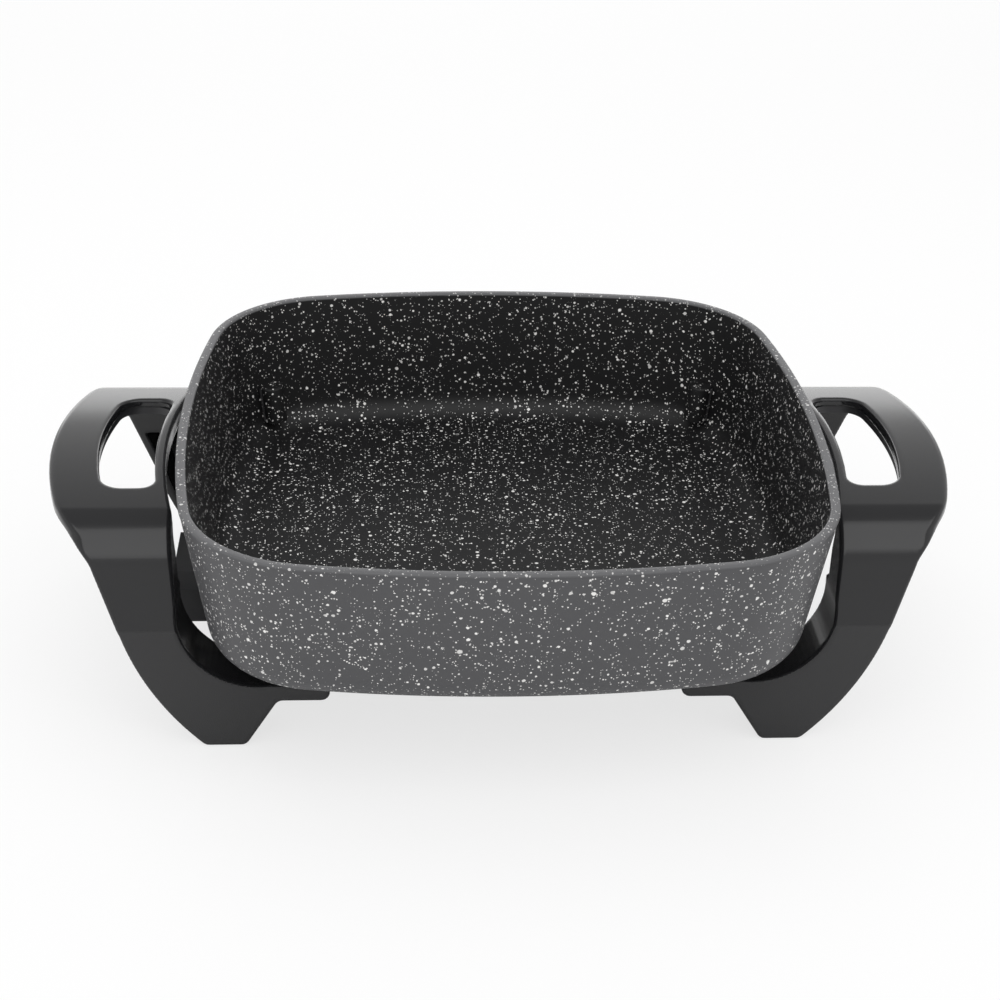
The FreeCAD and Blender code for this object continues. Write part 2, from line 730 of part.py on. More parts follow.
def handle_shape():
    """The whole upper moulding of the right-hand handle."""
    depth = 2 * (size("leg_front") + SPARE)
    side = side_face().extrude(Vector(0, depth, 0))
    y = -size("leg_front") - SPARE
    along = Vector(0, 1, 0)
    side = side.makeFillet(size("foot_round"), edges_along(side, along, [
        Vector(size("foot_inner"), y, 0), Vector(size("foot_outer"), y, 0),
        Vector(size("tongue_tip"), y, tongue_bottom()), Vector(size("tongue_root"), y, tongue_bottom())]))
    arch = arch_face(0, size("tongue_tip") - SPARE).extrude(Vector(size("grip_reach"), 0, 0))
    high = size("grip_height") + SPARE
    body = side.common(arch).common(grip_disc(0, -SPARE, high))
    body = body.cut(pan_disc(0, size("leg_inner_bend") + SPARE, high))
    body = body.cut(under_arch(size("tongue_tip") - 2 * SPARE, size("grip_reach")))
    body = round_grip(body)
    body = body.cut(leg_hollow())
    under = size("grip_height") - size("grip_thickness")
    body = body.cut(grip_ring(0, under - SPARE, high))
    body = body.cut(liner_plate(0, under - SPARE, under + size("liner_depth")))
    holes = []
    for x, y in liner_screw_places():
        holes.append(screw_hole(x, y, under + size("liner_depth"), size("small_screw_radius") + size("bore_gap"),
                                size("small_screw_bite") - size("liner_depth") + size("small_head_height")
                                + size("fit_gap")))
    low = tongue_bottom()
    seat = size("leg_head_height") + size("washer_thickness")
    for side_y in (-1, 1):
        place = (size("leg_boss_x"), side_y * size("leg_boss_y"))
        holes.append(screw_hole(*place, low, size("leg_screw_radius") + size("fit_gap"),
                                size("tongue_thickness") + SPARE))
        holes.append(screw_hole(*place, low, size("washer_radius") + size("fit_gap"), seat))
    return body.cut(holes)


def round_grip(body):
    """Round the grip's outer edges, above the neck of the legs."""
    centre = size("grip_reach") - size("grip_radius")
    crown = size("grip_height") - size("grip_fall") - SPARE
    rounded = []
    for edge in body.Edges:
        middle = edge.valueAt((edge.FirstParameter + edge.LastParameter) / 2)
        reach = math.hypot(middle.x - centre, middle.y)
        if middle.z > crown and abs(reach - size("grip_radius")) < 0.1:
            rounded.append(edge)
    return body.makeFillet(size("grip_round"), rounded)


def liner_shape():
    """The lower moulding of the right-hand grip, set back a step from the slot's edge."""
    under = size("grip_height") - size("grip_thickness")
    gap = size("fit_gap")
    high = under + size("liner_depth") - gap
    plate = liner_plate(gap, under, high)
    plate = plate.cut(grip_ring(-size("liner_step"), under - SPARE, high + SPARE))
    holes = []
    for x, y in liner_screw_places():
        holes.append(screw_hole(x, y, under, size("small_screw_radius") + gap, size("liner_depth") + SPARE))
        holes.append(screw_hole(x, y, under, size("small_head_radius") + gap, size("small_head_height")))
    return plate.cut(holes)


def mirrored(source, label):
    """The left-hand copy of a right-hand piece."""
    item = doc.addObject("Part::Mirroring", label)
    item.Source = source
    item.Base = Vector()
    item.Normal = Vector(1, 0, 0)
    return keep(item, label)


# Fasteners and bushes

def small_screw(place, turn):
    """A round-headed screw: head behind the given place, shank ahead of it."""
    head_height = size("small_head_height")
    head = Part.makeCylinder(size("small_head_radius"), head_height, Vector(0, 0, -head_height), UP)
    rim = [edge for edge in head.Edges if all(abs(v.Z + head_height) < 0.001 for v in edge.Vertexes)]
    head = head.makeFillet(head_height / 2, rim)
    shank = Part.makeCylinder(size("small_screw_radius"), size("small_screw_bite"), Vector(), UP)
    screw = head.fuse(shank)
    screw.Placement = FreeCAD.Placement(place, turn)
    return screw


def ring_body(name, outer, inner, height, x, y, z):
    """A plain ring: a padded sketch of two circles."""
    body = doc.addObject("PartDesign::Body", name)
    sketch = body.newObject("Sketcher::SketchObject", name + "_sketch")
    plane = [item for item in body.Origin.OriginFeatures if item.Role == "XY_Plane"][0]
    sketch.AttachmentSupport = (plane, [""])
    sketch.MapMode = "FlatFace"
    for number, radius in enumerate((outer, inner)):
        sketch.addGeometry(Part.Circle(Vector(), UP, 2.0 - number), False)
        sketch.addConstraint(Sketcher.Constraint("Coincident", number, 3, -1, 1))
        ring = sketch.addConstraint(Sketcher.Constraint("Radius", number, 2.0 - number))
        sketch.setExpression("Constraints[%d]" % ring, radius)
    pad = body.newObject("PartDesign::Pad", name + "_pad")
    pad.Profile = sketch
    pad.setExpression("Length", height)
    return set_down(body, x, y, z)


def make_leg_fasteners():
    """Bushes between pan and tongues, and the washers and screws below them."""
    washers = []
    screws = []
    for place, (sx, sy) in CORNERS.items():
        x = "%d * Sizes.leg_boss_x" % sx
        y = "%d * Sizes.leg_boss_y" % sy
        hole = "Sizes.leg_screw_radius + Sizes.fit_gap"
        label = "leg_spacer_" + place
        keep(ring_body(label, "Sizes.spacer_radius", hole, "Sizes.spacer_height", x, y, TONGUE_TOP), label)
        washers.append(ring_body("washer_" + place, "Sizes.washer_radius", hole, "Sizes.washer_thickness",
                                 x, y, HEAD_TOP))
        head = rod("leg_head_" + place, "Sizes.leg_head_radius", "Sizes.leg_head_height", x, y,
                   HEAD_TOP + " - Sizes.leg_head_height")
        shank = rod("leg_shank_" + place, "Sizes.leg_screw_radius",
                    "Sizes.tongue_thickness - Sizes.leg_head_height + Sizes.spacer_height + Sizes.leg_screw_bite",
                    x, y, HEAD_TOP)
        screws.append(joined("leg_screw_" + place, head, shank))
    group("leg_washers", washers)
    group("leg_screws", screws)


def make_small_screws():
    """Screws of the bracket, the shroud and the grip liners."""
    thick = size("bracket_thickness")
    back = -size("shroud_back")
    bracket = []
    shroud = []
    for side in (-1, 1):
        place = Vector(bracket_screw_x(), side * size("bracket_screw_y"), underside() - thick)
        bracket.append(small_screw(place, Rotation()))
        place = Vector(back + thick, side * size("shroud_screw_y"), socket_height())
        shroud.append(small_screw(place, LEFTWARDS))
    shaped("bracket_screws", Part.makeCompound(bracket))
    shaped("shroud_screws", Part.makeCompound(shroud))
    under = size("grip_height") - size("grip_thickness") + size("small_head_height")
    pair = [small_screw(Vector(x, y, under), Rotation()) for x, y in liner_screw_places()]
    right = shaped("liner_screws_right", Part.makeCompound(pair))
    mirrored(right, "liner_screws_left")


def check_document():
    """Stop if any object failed or any sub-part isn't a valid solid."""
    doc.recompute()
    for item in doc.Objects:
        if "Invalid" in item.State or "Error" in item.State:
            raise RuntimeError("failed: " + item.Name)
    for item in nodes:
        if item.Shape.isNull() or not item.Shape.isValid() or not item.Shape.Solids:
            raise RuntimeError("bad shape: " + item.Label)


def main():
    """Build every sub-part and write one file for each."""
    shaped("pan", pan_shape())
    shaped("heating_element", element_tube(size("element_radius")))
    make_terminals()
    make_sleeve()
    shaped("socket_shroud", shroud_shape())
    shaped("shroud_bracket", bracket_shape())
    shaped("earth_clip_front", earth_clip_shape(-1))
    shaped("earth_clip_rear", earth_clip_shape(1))
    right = shaped("right_handle", handle_shape())
    mirrored(right, "left_handle")
    liner = shaped("right_grip_liner", liner_shape())
    mirrored(liner, "left_grip_liner")
    make_leg_fasteners()
    make_small_screws()
    check_document()
    os.makedirs("parts", exist_ok=True)
    for item in nodes:
        item.Shape.exportStep(os.path.join("parts", item.Label + ".step"))
        print(item.Label, len(item.Shape.Solids), round(item.Shape.Volume), item.Shape.BoundBox)


main()
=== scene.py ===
"""Electric skillet: surfaces, finishes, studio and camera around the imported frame.

Every length in the classes is in millimetres, in the frame of the part: +Z up, X to the right,
Y to the back, the origin on the table under the middle of the pan. Meshes are written in metres.
"""

import logging
import math
from dataclasses import dataclass, field
from enum import Enum
from functools import cache

import bmesh
import bpy
import numpy as np
from bpy.types import ID, Material, Node, NodeSocket, NodeTree, Object, World
from mathutils import Matrix, Vector


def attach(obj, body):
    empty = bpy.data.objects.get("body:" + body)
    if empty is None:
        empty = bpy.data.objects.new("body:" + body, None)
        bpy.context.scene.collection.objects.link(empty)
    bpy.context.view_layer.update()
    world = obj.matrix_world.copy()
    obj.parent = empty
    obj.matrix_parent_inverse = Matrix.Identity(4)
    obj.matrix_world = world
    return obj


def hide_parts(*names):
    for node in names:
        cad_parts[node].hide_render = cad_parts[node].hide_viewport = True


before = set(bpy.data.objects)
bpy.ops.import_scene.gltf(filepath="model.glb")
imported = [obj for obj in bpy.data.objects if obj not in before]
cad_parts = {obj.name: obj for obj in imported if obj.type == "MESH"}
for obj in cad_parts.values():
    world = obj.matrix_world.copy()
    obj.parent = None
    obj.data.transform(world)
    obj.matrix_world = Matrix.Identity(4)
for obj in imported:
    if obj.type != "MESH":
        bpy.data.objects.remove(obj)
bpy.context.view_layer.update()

LOG = logging.getLogger("skillet")
Array = np.ndarray
MM = 0.001
WELD = 2e-6
SLIVER = 1e-6
QUARTER = math.pi / 2
WHITE = (1, 1, 1, 1)
BODY = "root"


class Side(Enum):
    """Left or right of the pan, as the sign of X."""

    LEFT = -1
    RIGHT = 1


class End(Enum):
    """Front or rear of the pan, as the sign of Y."""

    FRONT = -1
    REAR = 1


# Curves and grids

def arc_through(start: tuple, middle: tuple, end: tuple, count: int) -> Array:
    """Points on the circle through three places, evenly spaced by angle.

    The centre is where the perpendicular bisectors of the two chords meet.

    Args:
        start: First place, as two coordinates.
        middle: A place between the ends.
        end: Last place.
        count: Number of points, ends included.

    Returns:
        An array of count rows of two coordinates.
    """
    a, b, c = (np.asarray(place, float) for place in (start, middle, end))
    system = 2 * np.array([b - a, c - a])
    centre = np.linalg.solve(system, np.array([b @ b - a @ a, c @ c - a @ a]))
    angles = [math.atan2(*(place - centre)[::-1]) for place in (a, b, c)]
    turn = (angles[2] - angles[0]) % (2 * math.pi)
    if (angles[1] - angles[0]) % (2 * math.pi) > turn:
        turn -= 2 * math.pi
    sweep = angles[0] + turn * np.linspace(0, 1, count)
    radius = np.linalg.norm(a - centre)
    return centre + radius * np.stack([np.cos(sweep), np.sin(sweep)], axis=1)


def chain(*stretches: Array) -> Array:
    """Join stretches of points end to end, dropping each repeated joint."""
    return np.concatenate([stretches[0]] + [stretch[1:] for stretch in stretches[1:]])


def straight(start: tuple, end: tuple, count: int) -> Array:
    """Evenly spaced points on a straight line, ends included."""
    steps = np.linspace(0, 1, count)[:, None]
    return np.asarray(start, float) * (1 - steps) + np.asarray(end, float) * steps


def stand(data: ID) -> Object:
    """Stand a mesh, lamp or camera at the origin.

    Args:
        data: What the object shows; it gives the object its name.

    Returns:
        The new object.
    """
    item = bpy.data.objects.new(data.name, data)
    bpy.context.scene.collection.objects.link(item)
    return item


@dataclass
class Skin:
    """Collects grids of points and turns them into one mesh object."""

    name: str
    points: list = field(default_factory=list)
    faces: list = field(default_factory=list)

    def offset(self) -> int:
        """Number of points held so far."""
        return sum(len(block) for block in self.points)

    def add_grid(self, x: Array, y: Array, z: Array, capped: bool = False) -> None:
        """Add a surface given as rows and columns of points, whose last column joins the first.

        Args:
            x: X of the points in millimetres, for the whole grid or one of its rows or columns.
            y: Y of the points.
            z: Z of the points.
            capped: Whether the first and the last row are closed too.
        """
        grid = np.stack(np.broadcast_arrays(x, y, z), axis=2)
        rows, columns = grid.shape[:2]
        numbers = np.arange(rows * columns).reshape(rows, columns) + self.offset()
        here, ahead = numbers[:-1], numbers[1:]
        quads = np.stack([here, np.roll(here, -1, axis=1), np.roll(ahead, -1, axis=1), ahead], axis=-1)
        self.points.append(grid.reshape(-1, 3))
        self.faces.extend(quads.reshape(-1, 4).tolist())
        if capped:
            self.add_cap(grid[0])
            self.add_cap(grid[-1])

    def add_cap(self, ring: Array) -> None:
        """Close a ring of points with a fan round its middle.

        Args:
            ring: Rows of three coordinates, in millimetres.
        """
        centre = ring.mean(axis=0, keepdims=True)
        numbers = np.arange(len(ring)) + self.offset()
        hub = self.offset() + len(ring)
        fan = np.stack([numbers, np.roll(numbers, -1), np.full(len(ring), hub)], axis=-1)
        self.points.append(np.concatenate([ring, centre]))
        self.faces.extend(fan.tolist())

    def build(self, sharp: float) -> Object:
        """Make the mesh object, weld its seams and turn its faces outwards.

        Args:
            sharp: Angle in degrees above which an edge stays sharp.

        Returns:
            The new object, at the origin.
        """
        mesh = bpy.data.meshes.new(self.name)
        mesh.from_pydata((np.concatenate(self.points) * MM).tolist(), [], self.faces)
        work = bmesh.new()
        work.from_mesh(mesh)
        bmesh.ops.remove_doubles(work, verts=work.verts, dist=WELD)
        bmesh.ops.dissolve_degenerate(work, edges=work.edges, dist=SLIVER)
        bmesh.ops.recalc_face_normals(work, faces=work.faces)
        work.to_mesh(mesh)
        work.free()
        mesh.shade_smooth()
        mesh.set_sharp_from_angle(angle=math.radians(sharp))
        return stand(mesh)


def place_piece(item: Object, finish: "Finish", node: str) -> None:
    """Give a piece its finish and body, and let it stand for its CAD node.

    Args:
        item: The piece.
        finish: What it is made of.
        node: Name of the CAD node it stands for.
    """
    item.data.materials.clear()
    item.data.materials.append(finish.material())
    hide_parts(node)
    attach(item, BODY)
    LOG.info("%s: %d faces", item.name, len(item.data.polygons))


# Shader building

def cleared_tree(owner: Material | World) -> NodeTree:
    """Empty the node tree of a material or world.

    Args:
        owner: The material or world.

    Returns:
        Its tree.
    """
    owner.use_nodes = True
    owner.node_tree.nodes.clear()
    return owner.node_tree


class Nodes:
    """A short way to write a node tree."""

    def __init__(self, tree: NodeTree) -> None:
        """Start on a tree."""
        self.tree = tree

    def add(self, kind: str, inputs: dict | None = None, **settings) -> Node:
        """Add a node.

        Args:
            kind: Blender's name of the node type, after ShaderNode.
            inputs: Socket names or numbers, with a value or another node's socket.
            **settings: Properties of the node itself.

        Returns:
            The node.
        """
        node = self.tree.nodes.new(f"ShaderNode{kind}")
        for name, value in settings.items():
            setattr(node, name, value)
        for socket, value in (inputs or {}).items():
            if isinstance(value, NodeSocket):
                self.tree.links.new(value, node.inputs[socket])
            else:
                node.inputs[socket].default_value = value
        return node

    def math(self, operation: str, first: object, second: object = 0.0) -> NodeSocket:
        """A Math node's result."""
        return self.add("Math", {0: first, 1: second}, operation=operation).outputs[0]

    def vector(self, operation: str, inputs: dict) -> NodeSocket:
        """A Vector Math node's vector."""
        return self.add("VectorMath", inputs, operation=operation).outputs[0]

    def axes(self, vector: NodeSocket) -> Node:
        """A node that gives a vector's X, Y and Z."""
        return self.add("SeparateXYZ", {0: vector})

    def ramp(self, value: NodeSocket, low: float, high: float) -> NodeSocket:
        """A smooth ramp from 0 at low to 1 at high."""
        inputs = {0: value, 1: low, 2: high}
        return self.add("MapRange", inputs, interpolation_type="SMOOTHSTEP").outputs[0]

    def swing(self, value: object, middle: float, width: float) -> NodeSocket:
        """A value from 0 to 1, spread by a width round its new middle."""
        return self.math("ADD", self.math("MULTIPLY", value, width), middle - width / 2)

    def mix(self, share: object, first: object, second: object) -> NodeSocket:
        """A mix of two colours."""
        return self.add("Mix", {0: share, 6: first, 7: second}, data_type="RGBA").outputs[2]

    def blend(self, share: object, first: object, second: float) -> NodeSocket:
        """A mix of two numbers."""
        return self.add("Mix", {0: share, 2: first, 3: second}, data_type="FLOAT").outputs[0]


class Draft(Nodes):
    """A material being written: its tree, its shader and the place on the piece."""

    def __init__(self, made: Material, colour: tuple, roughness: float) -> None:
        """Empty the material and give it a plain shader.

        Args:
            made: The material.
            colour: Its plain colour.
            roughness: Its plain roughness.
        """
        super().__init__(cleared_tree(made))
        self.place = self.add("TexCoord").outputs["Object"]
        plain = {"Base Color": (*colour, 1.0), "Roughness": roughness}
        self.shader = self.add("BsdfPrincipled", plain)
        self.add("OutputMaterial", {"Surface": self.shader.outputs[0]})

    def effect(self, name: str, **inputs: float) -> Node:
        """Place a shared effect with its own values; Drift_Scale stands for Drift Scale."""
        values = {label.replace("_", " "): value for label, value in inputs.items()}
        return self.add("Group", {"Vector": self.place, **values}, node_tree=Effects.get(name))

    def feed(self, name: str, socket: NodeSocket) -> None:
        """Feed one of the shader's sockets."""
        self.tree.links.new(socket, self.shader.inputs[name])

    def tint(self, share: NodeSocket, first: tuple, second: tuple) -> None:
        """Colour the surface with a mix of two plain colours."""
        self.feed("Base Color", self.mix(share, (*first, 1.0), (*second, 1.0)))

    def bump(self, height: NodeSocket, strength: float, depth: float) -> None:
        """Raise the surface; depth is the height in metres that a value of 1 stands for."""
        made = self.add("Bump", {"Strength": strength, "Distance": depth, "Height": height})
        self.feed("Normal", made.outputs[0])


def new_group(name: str, inputs: dict, outputs: tuple) -> tuple:
    """Start a shader node group with named sockets.

    Args:
        name: The group's name.
        inputs: Names of its number sockets, with their defaults; a Vector comes first.
        outputs: Names of the number sockets it puts out.

    Returns:
        The group, its node writer, its input node and its output node.
    """
    group = bpy.data.node_groups.new(name, "ShaderNodeTree")
    group.interface.new_socket("Vector", in_out="INPUT", socket_type="NodeSocketVector")
    for label, value in inputs.items():
        socket = group.interface.new_socket(label, in_out="INPUT", socket_type="NodeSocketFloat")
        socket.default_value = value
    for label in outputs:
        group.interface.new_socket(label, in_out="OUTPUT", socket_type="NodeSocketFloat")
    nodes = Nodes(group)
    return group, nodes, group.nodes.new("NodeGroupInput"), group.nodes.new("NodeGroupOutput")


class Effects:
    """Node groups that several finishes share, each built once."""

    WOBBLE_SCALE: float = 900.0
    WOBBLE_REACH: float = 0.0007
    SMALLEST: float = 0.16
    SOFT_EDGE: float = 0.05

    @classmethod
    @cache
    def get(cls, name: str) -> NodeTree:
        """The named group, built on first use."""
        return getattr(cls, name)()

    @classmethod
    def fleck_field(cls) -> NodeTree:
        """Round flecks of uneven size: a cell's dot shows where the distance to it is under its radius.

        Each cell's radius comes from its random colour, raised to a power so that most dots are small.
        A slight wobble of the place keeps the dots from being true circles.

        Returns:
            A group with a Mask of dots and a Tone that differs from dot to dot.
        """
        defaults = {"Scale": 300.0, "Largest": 0.42, "Share": 0.5, "Evenness": 2.5}
        group, nodes, start, end = new_group("fleck_field", defaults, ("Mask", "Tone"))
        given = start.outputs
        wobble = nodes.add("TexNoise",
                           {"Vector": given["Vector"], "Scale": cls.WOBBLE_SCALE, "Detail": 1.0})
        shift = nodes.vector("SUBTRACT", {0: wobble.outputs["Color"], 1: (0.5, 0.5, 0.5)})
        small = nodes.vector("SCALE", {0: shift, "Scale": cls.WOBBLE_REACH})
        moved = nodes.vector("ADD", {0: given["Vector"], 1: small})
        cells = nodes.add("TexVoronoi", {"Vector": moved, "Scale": given["Scale"]}, feature="F1")
        parts = nodes.add("SeparateColor", {0: cells.outputs["Color"]})
        kept = nodes.math("LESS_THAN", parts.outputs[1], given["Share"])
        spread = nodes.math("POWER", parts.outputs[0], given["Evenness"])
        radius = nodes.math("MULTIPLY", nodes.math("ADD", spread, cls.SMALLEST), given["Largest"])
        inside = nodes.math("SUBTRACT", radius, cells.outputs["Distance"])
        mask = nodes.math("MULTIPLY", nodes.ramp(inside, 0.0, cls.SOFT_EDGE), kept)
        nodes.tree.links.new(mask, end.inputs["Mask"])
        nodes.tree.links.new(parts.outputs[2], end.inputs["Tone"])
        return group

    @staticmethod
    def fine_grain() -> NodeTree:
        """A small even texture, with slow drifts in gloss over a few centimetres.

        Returns:
            A group with a Height for bump and a Drift between 0 and 1.
        """
        group, nodes, start, end = new_group(
            "fine_grain", {"Scale": 1500.0, "Drift Scale": 18.0}, ("Height", "Drift"))
        for scale, detail, result in (("Scale", 2.0, "Height"), ("Drift Scale", 3.0, "Drift")):
            noise = nodes.add("TexNoise", {"Vector": start.outputs["Vector"],
                                                     "Scale": start.outputs[scale], "Detail": detail})
            nodes.tree.links.new(noise.outputs["Fac"], end.inputs[result])
        return group


# Finishes

@dataclass(frozen=True)
class Finish:
    """What a surface is made of; each kind writes its own nodes."""

    name: str
    colour: tuple
    roughness: float

    def material(self) -> Material:
        """The material of this finish, made on first use.

        Returns:
            The material.
        """
        made = bpy.data.materials.get(self.name)
        if made is None:
            made = bpy.data.materials.new(self.name)
            self.dress(Draft(made, self.colour, self.roughness))
        return made

    def dress(self, draft: Draft) -> None:
        """Add this finish's texture to the shader."""
        raise NotImplementedError


@dataclass(frozen=True)
class StoneCoat(Finish):
    """Speckled non-stick coating: grey outside, nearly black inside, lighter on the rim face.

    Each layer of flecks has a scale, a largest radius in cells, a share of cells and whether it is
    only outside.
    """

    inside: tuple = (0.0065, 0.0065, 0.007)
    rim: tuple = (0.105, 0.105, 0.109)
    patch: tuple = (0.062, 0.062, 0.066)
    patch_share: float = 0.35
    fleck: tuple = (0.90, 0.89, 0.87)
    faintest: float = 0.60
    rim_cover: float = 0.6
    gloss: float = 0.32
    inner_dulling: float = 0.06
    rim_height: float = 124.0
    lip: tuple = (1.5, 0.5)
    floor_height: float = 56.0
    relief: tuple = (0.25, 0.00008)
    layers: tuple = ((125.0, 0.15, 0.55, True), (200.0, 0.20, 0.66, True), (290.0, 0.26, 0.60, False),
                     (460.0, 0.30, 0.72, False), (860.0, 0.35, 0.75, False))

    def dress(self, draft: Draft) -> None:
        """Mix base tones by place and lay flecks of several sizes over them.

        Args:
            draft: The material to write on.
        """
        draft.shader.inputs["Specular IOR Level"].default_value = self.gloss
        axes = draft.axes(draft.place)
        inner = self.inner_mask(draft, axes)
        top = draft.ramp(axes.outputs[2], *((self.rim_height - below) * MM for below in self.lip))
        grain = draft.effect("fine_grain")
        patchy = draft.math("MULTIPLY", grain.outputs["Drift"], self.patch_share)
        base = draft.mix(patchy, (*self.colour, 1.0), (*self.patch, 1.0))
        base = draft.mix(inner, base, (*self.inside, 1.0))
        base = draft.mix(top, base, (*self.rim, 1.0))
        cover = None
        for scale, largest, share, outer_only in self.layers:
            flecks = draft.effect("fleck_field", Scale=scale, Largest=largest, Share=share)
            mask = flecks.outputs["Mask"]
            if outer_only:
                mask = draft.math("MULTIPLY", mask, draft.math("SUBTRACT", 1.0, inner))
            tone = draft.math("MULTIPLY", flecks.outputs["Tone"], 1 - self.faintest)
            layer = draft.math("MULTIPLY", mask, draft.math("ADD", tone, self.faintest))
            cover = layer if cover is None else draft.math("MAXIMUM", cover, layer)
        shown = draft.math("MULTIPLY", cover, draft.blend(top, 1.0, self.rim_cover))
        draft.feed("Base Color", draft.mix(shown, base, (*self.fleck, 1.0)))
        draft.feed("Roughness", draft.blend(inner, self.roughness, self.roughness + self.inner_dulling))
        height = draft.math("ADD", draft.math("MULTIPLY", grain.outputs["Height"], 0.5), cover)
        draft.bump(height, *self.relief)

    def inner_mask(self, draft: Draft, axes: Node) -> NodeSocket:
        """1 on faces that look towards the middle axis or up from the floor, inside the pan.

        A face looks towards the axis where its normal times its level place is below zero.

        Args:
            draft: The material to write on.
            axes: Node that gives the place as X, Y and Z.

        Returns:
            The mask.
        """
        normal = draft.add("NewGeometry").outputs["True Normal"]
        level = draft.add("CombineXYZ", {0: axes.outputs[0], 1: axes.outputs[1]})
        facing = draft.add("VectorMath", {0: level.outputs[0], 1: normal}, operation="DOT_PRODUCT")
        inwards = draft.math("LESS_THAN", facing.outputs["Value"], -0.002)
        upwards = draft.math("GREATER_THAN", draft.axes(normal).outputs[2], 0.3)
        above = draft.math("GREATER_THAN", axes.outputs[2], self.floor_height * MM)
        return draft.math("MULTIPLY", draft.math("MAXIMUM", inwards, upwards), above)


@dataclass(frozen=True)
class Phenolic(Finish):
    """Black moulding, glossy on the grip and finely textured below the knee of the legs."""

    knee: tuple = (60.5, 62.5)
    leg_colour: tuple = (0.024, 0.024, 0.025)
    leg_roughness: float = 0.62
    leg_facing: float = 0.75
    grain_scale: float = 2400.0
    gloss_drift: float = 0.10
    grip_relief: float = 0.04
    relief: tuple = (0.5, 0.00012)

    def dress(self, draft: Draft) -> None:
        """Change gloss and texture at the knee, on the faces that look forwards or backwards.

        Args:
            draft: The material to write on.
        """
        height = draft.axes(draft.place).outputs[2]
        below = draft.math("SUBTRACT", 1.0, draft.ramp(height, *(level * MM for level in self.knee)))
        normal = draft.axes(draft.add("NewGeometry").outputs["True Normal"])
        facing = draft.math("GREATER_THAN", draft.math("ABSOLUTE", normal.outputs[1]), self.leg_facing)
        leg = draft.math("MULTIPLY", below, facing)
        grain = draft.effect("fine_grain", Scale=self.grain_scale)
        draft.tint(leg, self.colour, self.leg_colour)
        gloss = draft.swing(grain.outputs["Drift"], self.roughness, self.gloss_drift)
        draft.feed("Roughness", draft.blend(leg, gloss, self.leg_roughness))
        amount = draft.blend(leg, self.grip_relief, 1.0)
        draft.bump(draft.math("MULTIPLY", grain.outputs["Height"], amount), *self.relief)


@dataclass(frozen=True)
class DullMoulding(Finish):
    """Plain black moulding with a fine spark-eroded texture."""

    grain_scale: float = 1800.0
    gloss_drift: float = 0.12
    relief: tuple = (0.35, 0.0001)

    def dress(self, draft: Draft) -> None:
        """Fine grain in height and gloss.

        Args:
            draft: The material to write on.
        """
        grain = draft.effect("fine_grain", Scale=self.grain_scale)
        draft.feed("Roughness", draft.swing(grain.outputs["Drift"], self.roughness, self.gloss_drift))
        draft.bump(grain.outputs["Height"], *self.relief)


@dataclass(frozen=True)
class Metal(Finish):
    """Plated or drawn metal with fine streaks and a little dulling."""

    streak: tuple = (60.0, 60.0, 1400.0)
    dull: tuple = (0.30, 0.27, 0.24)
    dulling: float = 0.25
    dull_band: tuple = (0.42, 0.68)
    streak_gloss: float = 0.24
    relief: tuple = (0.15, 0.00005)

    def dress(self, draft: Draft) -> None:
        """Streaked roughness and drifting colour.

        Args:
            draft: The material to write on.
        """
        draft.shader.inputs["Metallic"].default_value = 1.0
        stretched = draft.add("Mapping", {"Vector": draft.place, "Scale": self.streak})
        streaks = draft.add("TexNoise",
                            {"Vector": stretched.outputs[0], "Scale": 1.0, "Detail": 4.0}).outputs["Fac"]
        grain = draft.effect("fine_grain", Scale=900.0, Drift_Scale=60.0)
        worn = draft.math("MULTIPLY", draft.ramp(grain.outputs["Drift"], *self.dull_band), self.dulling)
        draft.tint(worn, self.colour, self.dull)
        draft.feed("Roughness", draft.swing(streaks, self.roughness, self.streak_gloss))
        draft.bump(streaks, *self.relief)


@dataclass(frozen=True)
class Ceramic(Finish):
    """Unglazed pressed ceramic with faint specks."""

    speck: tuple = (0.45, 0.42, 0.36)
    speck_share: float = 0.3
    relief: tuple = (0.1, 0.00005)

    def dress(self, draft: Draft) -> None:
        """A few darker specks over a chalky base.

        Args:
            draft: The material to write on.
        """
        flecks = draft.effect("fleck_field", Scale=900.0, Largest=0.3, Share=0.3)
        share = draft.math("MULTIPLY", flecks.outputs["Mask"], self.speck_share)
        draft.tint(share, self.colour, self.speck)
        draft.bump(flecks.outputs["Tone"], *self.relief)


STONE = StoneCoat("stone_coat", (0.078, 0.078, 0.082), 0.42)
PHENOLIC = Phenolic("black_phenolic", (0.011, 0.011, 0.012), 0.18)
DULL = DullMoulding("dull_moulding", (0.020, 0.020, 0.022), 0.48)
SHEATH = Metal("element_sheath", (0.33, 0.32, 0.30), 0.46, dulling=0.6)
BRIGHT = Metal("plated_pin", (0.62, 0.62, 0.60), 0.26)
ZINC = Metal("zinc_plate", (0.56, 0.56, 0.55), 0.34)
TUBE = Metal("drawn_aluminium", (0.66, 0.66, 0.67), 0.36, streak=(60.0, 1400.0, 1400.0))
STEATITE = Ceramic("steatite", (0.80, 0.78, 0.72), 0.7)


# The pan

